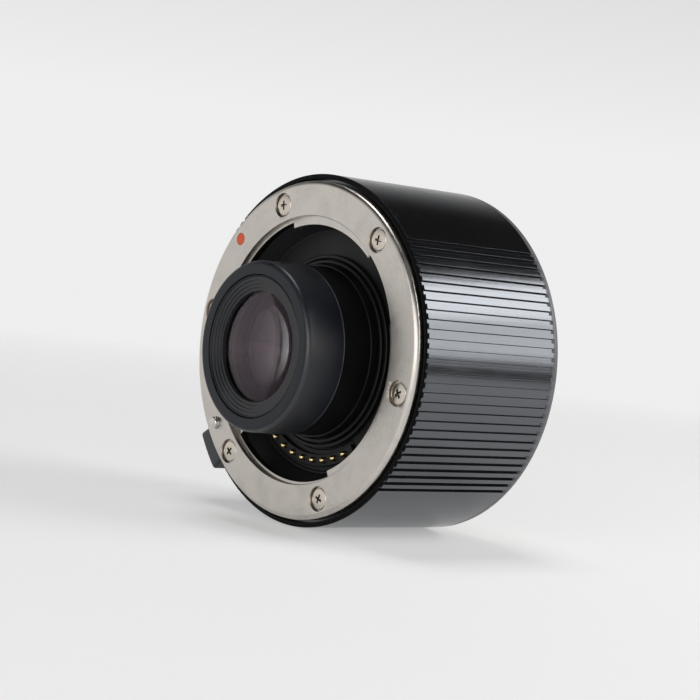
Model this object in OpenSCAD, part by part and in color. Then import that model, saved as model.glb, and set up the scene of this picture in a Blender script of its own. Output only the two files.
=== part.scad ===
// Camera teleconverter: a short ribbed barrel with a female bayonet in front, out of which the front
// lens cell stands as a nose, and a male bayonet of the same standard behind.
// The optical axis lies along Y, the front faces -Y and +Z is up.
// The origin is on the axis, at the seat of the rear flange.
// A depth is counted along the axis from the face of the front flange, positive to the rear.
// A clock angle is seen from the front: 0 is right and 90 is up.
// The throat's diameter sets all the others, by way of the widths between them.

/* [Body] */
// Distance between the front and rear flange seats
body_length = 30.7; // [27:0.1:40]
// How far the grip barrel stands out beyond the front flange
barrel_margin = 1.22; // [1.1:0.02:3]
// Wall of the grip barrel
barrel_wall = 1.55; // [1.2:0.05:2]
// Wall of the chassis tube inside the barrel
chassis_wall = 1; // [0.8:0.1:1.5]
// Thickness of the chassis's front, middle and rear plates
plate_t = 2; // [1.6:0.1:2.6]
// Play between pieces that are fixed to each other
slip = 0.05; // [0.03:0.01:0.1]
// Running clearance round pieces that slide
running = 0.06; // [0.03:0.01:0.1]

/* [Grip] */
// Depth of the grooves between the ribs
groove_depth = 0.5; // [0.3:0.05:0.6]
// Angle from one groove to the next
groove_pitch = 3.05; // [2.6:0.05:3.1]
// Angle that one groove takes
groove_angle = 1.4; // [1:0.1:1.8]
// Number of grooves on the right
right_grooves = 29; // [20:1:29]
// Clock angle at the middle of the right grooves
right_clock = 0.65; // [-2:0.05:2]
// Number of grooves on the left, above the release button
left_grooves = 23; // [16:1:23]
// Clock angle at the middle of the left grooves
left_clock = 170.2; // [168:0.1:171]
// Depth of the barrel's front face
front_setback = 1.2; // [0.8:0.05:1.4]
// Length of the plain rim in front of the ribs
front_rim = 0.4; // [0.3:0.05:0.8]
// Bevel on the front of that rim
front_bevel = 0.15; // [0.05:0.05:0.2]
// Distance of the barrel's rear end in front of the rear seat
rear_setback = 0.2; // [0.2:0.1:0.8]
// Length of the rim behind the ribs
rear_rim = 1; // [0.8:0.1:2]
// How far that rim draws in
rear_taper = 0.05; // [0.05:0.05:0.6]

/* [Front mount] */
// Diameter of the throat
throat_d = 44; // [38:0.1:52]
// Width of the front flange
flange_w = 5.78; // [5.5:0.02:7]
// Thickness of the front flange
flange_t = 2.4; // [2.2:0.1:3]
// Radius of the flange's rounded outer edge
flange_edge = 0.8; // [0.3:0.1:1]
// How far the bayonet tabs reach into the throat
tab_reach = 1.35; // [1.1:0.05:1.7]
// Width of the step in the throat's wall that the tabs stand on
throat_step = 0.4; // [0.2:0.05:0.5]
// Angle that the top tab and the left tab take
tab_angle = 57; // [45:1:60]
// Clock angle at the middle of the top tab
tab_clock = 80; // [70:1:90]
// Angle that the long tab at the lower right takes
long_tab_angle = 82; // [60:1:84]
// Clock angle at the middle of the long tab
long_tab_clock = -23; // [-26:1:-20]
// Depth of the tabs' front face
tab_setback = 1.1; // [0.8:0.05:1.15]
// Thickness of a tab
tab_t = 1.2; // [0.9:0.05:1.25]
// Distance of the flange screws outside the throat's wall
flange_screw_inset = 2.8; // [2.6:0.05:3.1]
// Clock angle of the first flange screw
flange_screw_clock = 51; // [48:1:56]
// Head diameter of the flange screws
flange_screw_head = 3.5; // [2.8:0.1:3.8]
// Diameter of the mounting mark
dot_d = 2; // [1.5:0.1:2.5]
// Distance of the mounting mark outside the throat's wall
dot_inset = 3.4; // [2.6:0.1:3.7]
// Clock angle of the mounting mark
dot_clock = 139; // [132:1:146]

/* [Lens release] */
// Diameter of the lock pin
lock_pin_d = 2; // [1.6:0.1:2.2]
// Distance of the lock pin outside the throat's wall
lock_pin_inset = 3; // [2.8:0.1:3.3]
// Clock angle of the lock pin
lock_pin_clock = -143; // [-145:0.5:-141]
// How far the lock pin stands out of the flange
lock_pin_out = 0.8; // [0.5:0.1:1.2]
// Travel of the release button and the lock pin
release_travel = 1.2; // [0.8:0.1:1.6]
// Clock angle at the middle of the release button
button_clock = -140; // [-141.5:0.5:-138.5]
// Angle that the release button takes
button_angle = 13; // [12.5:0.5:18]
// Length of the release button along the axis
button_length = 5.4; // [5.2:0.1:7]
// Depth of the release button's front face
button_front = 2.3; // [1.6:0.1:2.6]
// Height of the release button above the barrel
button_height = 3.4; // [2.4:0.1:4]

/* [Contacts] */
// Number of contacts
contact_count = 10; // [8:1:10]
// Angle from one contact to the next
contact_pitch = 8.4; // [7.5:0.1:8.6]
// Clock angle at the middle of the contacts
contact_clock = -99; // [-102:1:-98]
// Distance of the contacts inside the throat's wall
contact_inset = 4; // [3.8:0.1:4.2]
// Diameter of a contact pin
contact_pin_d = 1; // [0.7:0.05:1.1]
// How far a contact pin stands out of its ledge
contact_pin_out = 0.8; // [0.6:0.05:1]
// Travel of a contact pin
contact_travel = 0.6; // [0.3:0.05:0.75]

/* [Throat] */
// Depth of the throat's floor
floor_depth = 5.5; // [5.1:0.1:6.3]
// Thickness of the throat's floor
floor_t = 1.2; // [1:0.1:1.6]
// Height of the contact ledge above the floor
ledge_height = 0.75; // [0.4:0.05:0.9]
// Width of the light-trap ridges round the nose
ridge_w = 0.68; // [0.4:0.02:0.7]

/* [Nose] */
// How far the nose stands out of the front flange
nose_out = 9.94; // [8.8:0.02:12]
// Space between the nose and the throat's wall
nose_gap = 8.2; // [7.9:0.1:9.4]
// Length of the nose sleeve
sleeve_length = 7.5; // [6:0.1:8.6]
// How much the sleeve's radius grows to its rear
sleeve_flare = 0.2; // [0:0.02:0.3]
// Radius of the nose's rounded front edge
nose_edge = 0.5; // [0.3:0.1:1.1]
// Width of the nose's face outside the stepped ring
nose_rim = 2.25; // [2:0.05:2.8]
// Width of the stepped ring round the front glass
ring_w = 2.58; // [2.2:0.02:3]
// Depth of the front aperture behind the nose's face
aperture_setback = 0.9; // [0.6:0.05:1.1]

/* [Optics] */
// Width of the seat outside the lens elements
lens_seat = 1.25; // [1:0.05:1.6]
// Width of the spacer rings between the elements
spacer_w = 1; // [0.6:0.1:1.2]
// Depth of the front glass's pole behind the nose's face
glass_setback = 0.85; // [0.8:0.05:1.1]
// Distance of the rear glass's pole behind the rear seat
rear_glass_out = 1; // [0.5:0.1:1.4]
// Distance of the lens barrel's rear end behind the rear seat
barrel_out = 2.3; // [1.8:0.1:2.8]

/* [Rear mount] */
// How much smaller the rear flange's radius is than the front one's
rear_flange_step = 1.38; // [1.2:0.02:2]
// Thickness of the rear flange
rear_flange_t = 1.8; // [1.6:0.1:2.4]
// Length of the rear spigot behind its seat
spigot_length = 4.2; // [4.1:0.1:5]
// Wall of the rear spigot
spigot_wall = 1; // [0.8:0.1:1]
// Depth of the rear contacts behind the seat
rear_contact_depth = 4; // [3.8:0.05:4.1]
// Thickness of a rear bayonet tab
rear_tab_t = 1.3; // [0.9:0.1:1.5]
// Distance of the rear flange screws outside the spigot
rear_screw_inset = 2.9; // [2.8:0.05:3.2]
// Head diameter of the rear flange screws
rear_screw_head = 3.2; // [2.6:0.1:3.4]
// Height of the rear window as a share of its width
window_ratio = 0.7; // [0.5:0.05:0.75]

/* [Hidden] */
$fn = 72;
glass_fn = 240;
over = 1;
flange_screw_count = 6;
rear_screw_count = 4;
rear_screw_clock = 20;

// Front mount
throat_r = throat_d / 2;
throat_chamfer = 0.2;
throat_step_r = throat_r - throat_step;
flange_r = throat_r + flange_w;
flange_gap = 0.4;
socket_r = flange_r + flange_gap;
clamp_w = 0.9;
lip_r = flange_r - clamp_w;
lip_t = 0.6;
tab_r = throat_r - tab_reach;
tab_root = 0.3;
tab_clocks = [tab_clock, tab_clock + 120, long_tab_clock + 360];
tab_angles = [tab_angle, tab_angle, long_tab_angle];
tab_count = len(tab_clocks);
tab_margin = 5.5;
tab_back = tab_setback + tab_t;
dot_r = throat_r + dot_inset;
dot_t = 0.25;
flange_screw_r = throat_r + flange_screw_inset;
chassis_seat = flange_t;
plate_back = chassis_seat + plate_t;

// Grip barrel and chassis tube
barrel_r = flange_r + barrel_margin;
barrel_bore_r = barrel_r - barrel_wall;
groove_floor_r = barrel_r - groove_depth;
rim_drop = 0.03;
rim_r = groove_floor_r - rim_drop;
groove_stop = 0.1;
chassis_r = barrel_bore_r - slip;
chassis_bore_r = chassis_r - chassis_wall;
land_edge = 0.12;
rib_front = front_setback + front_rim;
barrel_back = body_length - rear_setback;
rib_back = barrel_back - rear_rim;

// Screws
screw_dome = 0.25;
cross_w = 0.42;
cross_depth = 0.5;
cross_share = 0.56;
flange_head_t = 0.65;
flange_head_sink = 0.12;
flange_shank_d = 1.6;
thread_end = 0.2;
flange_shank_end = plate_back - thread_end;
counterbore_play = 0.3;
shank_play = 0.2;
rear_head_t = 0.8;
rear_head_sink = 0.1;
rear_shank_d = 1.6;
block_head_d = 1.9;
block_head_t = 0.6;
block_shank_d = 1;
barrel_head_d = 2.6;
barrel_head_t = 0.8;
barrel_shank_d = 1.4;

// Bayonet leaf springs
leaf_t = 0.3;
leaf_setback = 0.35;
leaf_out = 0.35;
leaf_in = 1.5;
leaf_front = tab_setback + leaf_setback;
leaf_in_r = throat_r - leaf_out;
leaf_out_r = throat_r + leaf_in;
leaf_foot = 4;
leaf_foot_inset = 0.1;
leaf_play = 0.5;

// Lens release
lock_r = throat_r + lock_pin_inset;
lock_pin_r = lock_pin_d / 2;
lock_tip = 0.2;
carrier_gap = 0.2;
carrier_t = 1.4;
carrier_half = 5.5;
carrier_eye = 1.1;
carrier_front = plate_back + carrier_gap;
carrier_back = carrier_front + carrier_t;
carrier_in_r = lock_r - carrier_eye;
post_height = 1.2;
slot_play = 0.1;
slot_side_play = 0.4;
slot_half = carrier_half + slot_side_play;
neck_cut = 0.4;
neck_pin_r = lock_pin_r - neck_cut;
neck_play = 0.1;
clip_t = 0.5;
clip_out = 0.2;
clip_r = lock_pin_r + clip_out;
clip_front = carrier_back + slip;
clip_back = clip_front + clip_t;
channel_play = 0.3;
channel_r = clip_r + channel_play;
spring_wall = 0.3;
button_gap = 0.15;
button_in_r = barrel_r + button_gap;
button_out_r = barrel_r + button_height;
button_edge = 0.4;
button_ridges = 3;
button_ridge_step = 1;
button_ridge_w = 0.45;
button_ridge_depth = 0.3;

// Contacts and the throat's floor
contact_r = throat_r - contact_inset;
contact_half = (contact_count - 1) / 2 * contact_pitch;
floor_back = floor_depth + floor_t;
ledge_depth = floor_depth - ledge_height;
ledge_half_w = 0.98;
ledge_end_angle = 1;
block_half_w = 1.75;
block_end_angle = 6.2;
block_half = contact_half + block_end_angle;
base_half_w = 2.4;
base_end_angle = 6;
base_half = block_half + base_end_angle;
base_t = 2;
block_back = floor_back + base_t;
block_screw_offset = block_half + base_end_angle / 2;
block_screw_bite = 0.9;
board_t = 0.8;
board_back = block_back + board_t;
contact_pin_r = contact_pin_d / 2;
contact_guide = 0.95;
contact_collar_w = 0.28;
contact_collar_r = contact_pin_r + contact_collar_w;
contact_collar_t = 0.6;
contact_tail_cut = 0.15;
contact_tail_r = contact_pin_r - contact_tail_cut;
contact_tail_play = 1.3;
collar_depth = ledge_depth + contact_guide;
contact_spring_depth = collar_depth + contact_collar_t;
contact_tail = block_back - contact_spring_depth - contact_travel - contact_tail_play;
flex_w = 10;
flex_t = 0.2;
flex_play = 0.4;

// Nose and lens barrel
nose_r = throat_r - nose_gap;
nose_face = -nose_out;
sleeve_back = nose_face + sleeve_length;
sleeve_rear_r = nose_r + sleeve_flare;
sleeve_wall = 1.15;
cell_r = nose_r - sleeve_wall - slip;
lip_front_t = 0.6;
cell_front = nose_face + lip_front_t;
ring_r = nose_r - nose_rim;
ring_play = 0.06;
ring_sink = 0.1;
ring_t = 1.1;
ring_face = nose_face + ring_sink;
ring_back = cell_front + ring_t;
ring_steps = 4;
ring_flat = 0.35;
ring_step_out_r = ring_r - ring_flat;
aperture_r = ring_r - ring_w;
aperture_depth = nose_face + aperture_setback;
neck_step = 0.05;
neck_r = nose_r + neck_step;
barrel_flange_gap = 0.4;
barrel_flange_t = 1.6;
barrel_flange_out = 0.45;
barrel_flange_r = throat_r + barrel_flange_out;
barrel_flange_front = board_back + barrel_flange_gap;
barrel_flange_back = barrel_flange_front + barrel_flange_t;
barrel_screw_inset = 2.4;
barrel_screw_r = throat_r - barrel_screw_inset;
shelf_back = barrel_flange_back + plate_t;
shelf_play = 1.15;
shelf_r = neck_r + shelf_play;
optics_back = body_length + barrel_out;

// Throat liner
liner_out = 0.5;
liner_r = throat_r + liner_out;
liner_wall_r = throat_r + slip;
liner_skirt = 1.3;
liner_skirt_r = liner_r - liner_skirt;
liner_funnel = 1.9;
liner_funnel_r = throat_r - liner_funnel;
liner_funnel_rise = 2.6;
liner_funnel_front = floor_depth - liner_funnel_rise;
liner_play = 0.1;
collar_wall = 0.3;
collar_height = 2.6;
ridge_gap = 0.2;
ridge_heights = [1.3, 0.9];

// Lens elements: thickness at the pole as a share of the glass's whole length,
// and the radii of the front and rear surfaces as multiples of the elements' own radius
// A radius is positive where its centre lies behind the surface
lenses = [
    [0.0993, 5.83, -5.83],
    [0.0298, -3.88, 2.14],
    [0.129, 2.14, -3.5],
    [0.119, 5.83, -1.94],
    [0.0298, -1.94, 19.4],
    [0.0298, -7.77, 2.33],
    [0.149, 2.33, -2.33],
    [0.0298, -2.33, 7.77],
    [0.0844, -3.88, -5.83],
];
lens_r = ring_r - lens_seat;
spacer_in_r = lens_r - spacer_w;
hollow_rim = 0.2;
hollow_rim_r = lens_r - hollow_rim;
cement = 0.02;
first_share = 0.0745;
second_share = 0.0645;
last_share = 0.0745;
glass_front = nose_face + glass_setback;
glass_back = body_length + rear_glass_out;
glass_length = glass_back - glass_front;
first_space = first_share * glass_length;
second_space = second_share * glass_length;
last_space = last_share * glass_length;
glass_total = glass_length * total([for (one = lenses) one[0]]);
fixed_spaces = first_space + second_space + last_space + 4 * cement;
middle_space = glass_length - glass_total - fixed_spaces;
// The space behind each element but the last
spaces = [first_space, cement, second_space, cement, middle_space, cement, cement, last_space];
// The elements that have a spacer ring behind them
spaced = [0, 2, 4, 7];
last_lens = len(lenses) - 1;

// Rear mount, which fits a front mount like this part's own
mate_gap = 0.15;
rear_flange_r = flange_r - rear_flange_step;
chassis_back = body_length - rear_flange_t;
rear_plate_front = chassis_back - plate_t;
rear_plate_play = 0.3;
rear_plate_r = neck_r + rear_plate_play;
spigot_r = tab_r - mate_gap;
spigot_in_r = spigot_r - spigot_wall;
spigot_back = body_length + spigot_length;
spigot_chamfer = 0.3;
rear_screw_r = spigot_r + rear_screw_inset;
rear_tab_r = leaf_in_r - mate_gap;
relief_r = rear_tab_r + mate_gap;
relief_depth = 0.2;
tab_play = 0.1;
rear_tab_front = body_length + tab_back + tab_play;
lock_hole_r = lock_pin_r + mate_gap;
lock_hole_depth = 1.2;
gasket_sink = 0.2;
gasket_back = body_length - gasket_sink;
gasket_lip = 0.5;
rear_dot_d = 1.8;
rear_dot_clock = 90;
rear_dot_setback = 2;
rear_dot_depth = rib_back - rear_dot_setback;
rear_dot_t = 0.6;
rear_dot_sink = 0.03;
rear_dot_in_r = barrel_r - rear_dot_t;
rear_block_half_w = 1.4;
rear_block_screw_angle = 7.2;
rear_block_end_angle = 5.3;
rear_block_screw_offset = contact_half + rear_block_screw_angle;
rear_block_half = rear_block_screw_offset + rear_block_end_angle;
rear_block_back = body_length + rear_contact_depth;
rear_block_head_d = 2.2;
rear_block_head_t = 0.6;
rear_block_bite = 1.5;
rear_pad_r = 0.7;
rear_pad_t = 0.6;
rear_pad_out = 0.05;
baffle_play = 0.1;
baffle_wall = 1.2;
baffle_r = neck_r + baffle_play + baffle_wall;
baffle_cover = 0.7;
baffle_front = body_length - baffle_cover;
baffle_t = 1.2;
baffle_back = optics_back + baffle_t;
window_inset = 0.3;
window_w = 2 * (lens_r - window_inset);
window_h = window_w * window_ratio;
window_corner = 1.5;
cover_play = 0.2;
cover_in_r = baffle_r + cover_play;
cover_out_r = spigot_in_r - liner_play;
cover_out = 1.5;
cover_back = body_length + cover_out;
cover_grooves = 3;
cover_groove_w = 0.5;
cover_groove_depth = 0.5;
cover_cut_angle = 0.5;

pin_names = [for (i = [1:contact_count]) str("contact_pin_", i < 10 ? "0" : "", i)];
lens_names = [for (i = [1:len(lenses)]) str("lens_", i)];
spacer_names = [for (i = [1:len(spaced)]) str("spacer_", i)];

function total(list) = list * [for (one = list) 1];

// Distance along the axis from a spherical surface's pole to the surface, at radius rho
function sag(radius, rho) = radius - sign(radius) * sqrt(radius * radius - rho * rho);

// Depths of an element's front and rear poles
function front_pole(i) = i == 0 ? glass_front : rear_pole(i - 1) + spaces[i - 1];
function rear_pole(i) = front_pole(i) + lenses[i][0] * glass_length;

// Radii of an element's front and rear surfaces
function front_curve(i) = lenses[i][1] * lens_r;
function rear_curve(i) = lenses[i][2] * lens_r;

// Where a front tab ends and the next one starts, and the gap between them
function tab_end(i) = tab_clocks[i] + tab_angles[i] / 2;
function next_start(i) = i + 1 < tab_count ? tab_clocks[i + 1] - tab_angles[i + 1] / 2
                                           : tab_clocks[0] - tab_angles[0] / 2 + 360;
function gap_angle(i) = next_start(i) - tab_end(i);
function gap_clock(i) = tab_end(i) + gap_angle(i) / 2;

// Half the angle of the leaf spring in that gap
function leaf_half(i) = gap_angle(i) / 2 - tab_margin;

// Angle of the rear tab that enters through that gap and turns behind the front tab
function rear_tab_angle(i) = min(tab_angles[i], gap_angle(i) - tab_margin);

// Clock angle of contact number i, counted from 1
function contact_angle(i) = contact_clock + contact_half - (i - 1) * contact_pitch;

// Places a shape whose Z is a depth onto the optical axis
module on_axis() {
    rotate([-90, 0, 0]) translate([0, 0, -body_length]) children();
}

// Turns a shape to a clock angle
module at_clock(angle) {
    rotate([0, 0, -angle]) children();
}

// Places a shape on a circle, at a depth
module at_place(r, angle, depth) {
    at_clock(angle) translate([r, 0, depth]) children();
}

// A turned piece, from its outline as radius and depth
module turned(outline) {
    rotate_extrude() polygon(outline);
}

// A turned piece whose front outer edge is rounded
// The outline leaves that corner out, from the face to the side by way of the round's centre
module turned_with_round(outline, r, front, edge) {
    rotate_extrude() {
        polygon(outline);
        intersection() {
            translate([r - edge, front + edge]) circle(r = edge);
            translate([r - edge, front]) square(edge);
        }
    }
}

// A plain ring
module ring(in_r, out_r, front, back) {
    turned([[in_r, front], [out_r, front], [out_r, back], [in_r, back]]);
}

// A block bent round the axis, reaching half an angle to each side of a clock angle
module bent_block(in_r, out_r, front, back, angle, half) {
    at_clock(angle + half) rotate_extrude(angle = 2 * half)
        polygon([[in_r, front], [out_r, front], [out_r, back], [in_r, back]]);
}

// A cross-head screw whose head's top is at depth 0
module screw(head_d, head_t, shank_d, length) {
    dome_r = (head_d * head_d / 4 + screw_dome * screw_dome) / (2 * screw_dome);
    difference() {
        union() {
            intersection() {
                cylinder(d = head_d, h = head_t);
                translate([0, 0, dome_r]) sphere(r = dome_r);
            }
            translate([0, 0, head_t / 2]) cylinder(d = shank_d, h = length - head_t / 2);
        }
        for (turn = [0, 90]) rotate([0, 0, turn])
            translate([-head_d * cross_share / 2, -cross_w / 2, -over])
                cube([head_d * cross_share, cross_w, cross_depth * head_t + over]);
    }
}

// The same screw, facing the rear
module rear_screw(head_d, head_t, shank_d, length) {
    mirror([0, 0, 1]) screw(head_d, head_t, shank_d, length);
}

// Places something at each flange screw
module each_flange_screw(depth) {
    for (i = [0:flange_screw_count - 1])
        at_place(flange_screw_r, flange_screw_clock + i * 360 / flange_screw_count, depth) children();
}

// Places something at each rear flange screw
module each_rear_screw(depth) {
    for (i = [0:rear_screw_count - 1])
        at_place(rear_screw_r, rear_screw_clock + i * 360 / rear_screw_count, depth) children();
}

// Places something at each lens barrel screw
module each_barrel_screw(depth) {
    for (i = [0:tab_count - 1])
        at_place(barrel_screw_r, tab_clock + i * 360 / tab_count, depth) children();
}

// Places something at each screw of the front contact block
module each_block_screw(depth) {
    for (side = [-1, 1])
        at_place(contact_r, contact_clock + side * block_screw_offset, depth) children();
}

// Places something at each screw of the rear contact block
module each_rear_block_screw(depth) {
    for (side = [-1, 1])
        at_place(contact_r, contact_clock + side * rear_block_screw_offset, depth) children();
}

// Places something at each contact
module each_contact(depth) {
    for (i = [1:contact_count]) at_place(contact_r, contact_angle(i), depth) children();
}

// The way that the flex cable takes through the plates
module flex_slot(front, back) {
    at_place(contact_r, contact_clock, front)
        translate([-flex_t / 2 - flex_play, -flex_w / 2 - flex_play, 0])
            cube([flex_t + 2 * flex_play, flex_w + 2 * flex_play, back - front]);
}

// The slot that the release carrier slides in
module release_slot() {
    bent_block(lock_r, barrel_r + over, carrier_front - slot_play,
               carrier_back + release_travel + slot_play, button_clock, slot_half);
}

module front_mount_ring() {
    outline = [
        [throat_r, throat_chamfer],
        [throat_r + throat_chamfer, 0],
        [flange_r - flange_edge, 0],
        [flange_r - flange_edge, flange_edge],
        [flange_r, flange_edge],
        [flange_r, flange_t],
        [throat_r, flange_t],
        [throat_r, tab_back],
        [throat_step_r, tab_back],
        [throat_step_r, tab_setback],
        [throat_r, tab_setback],
    ];
    color("silver") on_axis() difference() {
        union() {
            turned_with_round(outline, flange_r, 0, flange_edge);
            for (i = [0:tab_count - 1])
                bent_block(tab_r, throat_r + tab_root, tab_setback, tab_back, tab_clocks[i],
                           tab_angles[i] / 2);
        }
        each_flange_screw(-over)
            cylinder(d = flange_screw_head + 2 * counterbore_play,
                     h = over + flange_head_sink + flange_head_t);
        each_flange_screw(0) cylinder(d = flange_shank_d + 2 * shank_play, h = flange_t + over);
        at_place(dot_r, dot_clock, -over) cylinder(d = dot_d + 2 * slip, h = over + dot_t);
        at_place(lock_r, lock_pin_clock, -over)
            cylinder(r = lock_pin_r + running, h = flange_t + 2 * over);
        for (i = [0:tab_count - 1])
            bent_block(throat_r - over, leaf_out_r + slip, leaf_front, flange_t + over, gap_clock(i),
                       leaf_half(i) + leaf_play);
    }
}

module front_mount_screws() {
    color("ivory") on_axis() each_flange_screw(flange_head_sink)
        screw(flange_screw_head, flange_head_t, flange_shank_d, flange_shank_end - flange_head_sink);
}

module front_index_dot() {
    color("orangered") on_axis() at_place(dot_r, dot_clock, 0) cylinder(d = dot_d, h = dot_t);
}

module bayonet_leaf_springs() {
    color("gainsboro") on_axis() for (i = [0:tab_count - 1]) {
        bent_block(leaf_in_r, leaf_out_r, leaf_front, leaf_front + leaf_t, gap_clock(i), leaf_half(i));
        for (side = [-1, 1])
            bent_block(liner_r + 2 * slip, leaf_out_r - leaf_foot_inset, leaf_front + leaf_t / 2, flange_t,
                       gap_clock(i) + side * (leaf_half(i) - leaf_foot), leaf_foot / 2);
    }
}

module lock_pin() {
    neck_end = (barrel_flange_back + shelf_back) / 2;
    color("lightgray") on_axis() at_place(lock_r, lock_pin_clock, 0) turned([
        [0, -lock_pin_out],
        [lock_pin_r - lock_tip, -lock_pin_out],
        [lock_pin_r, lock_tip - lock_pin_out],
        [lock_pin_r, carrier_front - slip],
        [neck_pin_r, carrier_front - slip],
        [neck_pin_r, neck_end],
        [0, neck_end],
    ]);
}

module lock_pin_clip() {
    color("dimgray") on_axis() at_place(lock_r, lock_pin_clock, 0)
        ring(neck_pin_r + slip, clip_r, clip_front, clip_back);
}

module lock_pin_spring() {
    color("gray") on_axis() at_place(lock_r, lock_pin_clock, 0)
        ring(neck_pin_r + neck_play, neck_pin_r + neck_play + spring_wall, clip_back, barrel_flange_back);
}

module release_carrier() {
    color("slategray") on_axis() difference() {
        bent_block(carrier_in_r, button_in_r + post_height, carrier_front, carrier_back,
                   button_clock, carrier_half);
        at_place(lock_r, lock_pin_clock, carrier_front - over)
            cylinder(r = neck_pin_r + neck_play, h = carrier_t + 2 * over);
    }
}

module release_button() {
    button_back = button_front + button_length;
    middle = (button_front + button_back) / 2;
    color("dimgray") on_axis() difference() {
        at_clock(button_clock + button_angle / 2) rotate_extrude(angle = button_angle) polygon([
            [button_in_r, button_front],
            [button_out_r - button_edge, button_front],
            [button_out_r, button_front + button_edge],
            [button_out_r, button_back - button_edge],
            [button_out_r - button_edge, button_back],
            [button_in_r, button_back],
        ]);
        bent_block(button_in_r - over, button_in_r + post_height + slip, carrier_front - slip,
                   carrier_back + slip, button_clock, carrier_half + slip);
        for (i = [0:button_ridges - 1])
            bent_block(button_out_r - button_ridge_depth, button_out_r + over,
                       middle + (i - (button_ridges - 1) / 2) * button_ridge_step - button_ridge_w / 2,
                       middle + (i - (button_ridges - 1) / 2) * button_ridge_step + button_ridge_w / 2,
                       button_clock, button_angle);
    }
}

module throat_liner() {
    in_r = neck_r + liner_play;
    color("black") on_axis() difference() {
        union() {
            turned([
                [in_r, floor_depth],
                [liner_funnel_r, floor_depth],
                [liner_wall_r, liner_funnel_front],
                [liner_wall_r, flange_t],
                [liner_r, flange_t],
                [liner_r, barrel_flange_front],
                [liner_skirt_r, barrel_flange_front],
                [liner_skirt_r, floor_back],
                [in_r, floor_back],
            ]);
            ring(in_r, in_r + collar_wall, floor_depth - collar_height, floor_back);
            for (i = [0:len(ridge_heights) - 1]) {
                ridge_r = in_r + collar_wall + ridge_gap + i * (ridge_w + ridge_gap);
                ring(ridge_r, ridge_r + ridge_w, floor_depth - ridge_heights[i], floor_back);
            }
        }
        bent_block(contact_r - block_half_w - liner_play, contact_r + block_half_w + liner_play,
                   floor_depth - over, floor_back + over, contact_clock, block_half + leaf_play);
        each_block_screw(floor_back - block_screw_bite)
            cylinder(d = block_shank_d, h = block_screw_bite + over);
    }
}

module contact_block() {
    color("black") on_axis() difference() {
        union() {
            bent_block(contact_r - ledge_half_w, contact_r + ledge_half_w, ledge_depth, floor_back,
                       contact_clock, block_half - ledge_end_angle);
            bent_block(contact_r - block_half_w, contact_r + block_half_w, floor_depth, floor_back,
                       contact_clock, block_half);
            bent_block(contact_r - base_half_w, contact_r + base_half_w, floor_back, block_back,
                       contact_clock, base_half);
        }
        each_contact(ledge_depth - over) cylinder(r = contact_pin_r + running, h = block_back);
        each_contact(collar_depth - slip)
            cylinder(r = contact_collar_r + running, h = block_back - collar_depth + over);
        each_block_screw(floor_back - over) cylinder(d = block_shank_d + 2 * slip, h = base_t + 2 * over);
    }
}

module contact_pin(i) {
    round_depth = ledge_depth - contact_pin_out + contact_pin_r;
    color("gold") on_axis() at_place(contact_r, contact_angle(i), 0) {
        translate([0, 0, round_depth]) sphere(r = contact_pin_r);
        turned([
            [0, round_depth],
            [contact_pin_r, round_depth],
            [contact_pin_r, collar_depth],
            [contact_collar_r, collar_depth],
            [contact_collar_r, contact_spring_depth],
            [contact_tail_r, contact_spring_depth],
            [contact_tail_r, contact_spring_depth + contact_tail],
            [0, contact_spring_depth + contact_tail],
        ]);
    }
}

module contact_springs() {
    color("gray") on_axis() each_contact(0)
        ring(contact_tail_r + 2 * slip, contact_collar_r - slip, contact_spring_depth, block_back);
}

module contact_board() {
    color("darkgreen") on_axis() bent_block(contact_r - base_half_w, contact_r + base_half_w,
                                            block_back, board_back, contact_clock, block_half);
}

module contact_block_screws() {
    color("gray") on_axis() each_block_screw(block_back + block_head_t)
        rear_screw(block_head_d, block_head_t, block_shank_d - 2 * slip,
                   block_head_t + base_t + block_screw_bite - slip);
}

module flex_cable() {
    color("orange") on_axis() at_place(contact_r, contact_clock, board_back)
        translate([-flex_t / 2, -flex_w / 2, 0]) cube([flex_t, flex_w, chassis_back - board_back]);
}

module nose_sleeve() {
    face_in_r = ring_r + ring_play;
    outline = [
        [face_in_r, nose_face],
        [nose_r - nose_edge, nose_face],
        [nose_r - nose_edge, nose_face + nose_edge],
        [nose_r, nose_face + nose_edge],
        [sleeve_rear_r, sleeve_back],
        [cell_r + slip, sleeve_back],
        [cell_r + slip, cell_front],
        [face_in_r, cell_front],
    ];
    color("dimgray") on_axis() turned_with_round(outline, nose_r, nose_face, nose_edge);
}

module front_retaining_ring() {
    seat = front_pole(0) + sag(front_curve(0), aperture_r);
    tube_r = lens_r - slip;
    step_w = (ring_step_out_r - aperture_r) / ring_steps;
    step_h = (aperture_depth - ring_face) / ring_steps;
    stairs = [for (i = [0:ring_steps - 1], rise = [0, 1])
        [ring_step_out_r - i * step_w, ring_face + (i + rise) * step_h]];
    color("black") on_axis() turned(concat(
        [[ring_r, ring_face]],
        stairs,
        [[aperture_r, aperture_depth],
         [aperture_r, seat],
         [tube_r, seat],
         [tube_r, ring_back],
         [ring_r, ring_back]]));
}

module lens_barrel() {
    bore_r = lens_r + slip;
    color("black") on_axis() difference() {
        turned([
            [ring_r + slip, cell_front],
            [cell_r, cell_front],
            [cell_r, sleeve_back],
            [neck_r, sleeve_back],
            [neck_r, barrel_flange_front],
            [barrel_flange_r, barrel_flange_front],
            [barrel_flange_r, barrel_flange_back],
            [neck_r, barrel_flange_back],
            [neck_r, optics_back],
            [bore_r, optics_back],
            [bore_r, ring_back],
            [ring_r + slip, ring_back],
        ]);
        flex_slot(barrel_flange_front - over, barrel_flange_back + over);
        each_barrel_screw(barrel_flange_front - over)
            cylinder(d = barrel_shank_d + 2 * shank_play, h = barrel_flange_t + 2 * over);
    }
}

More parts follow.
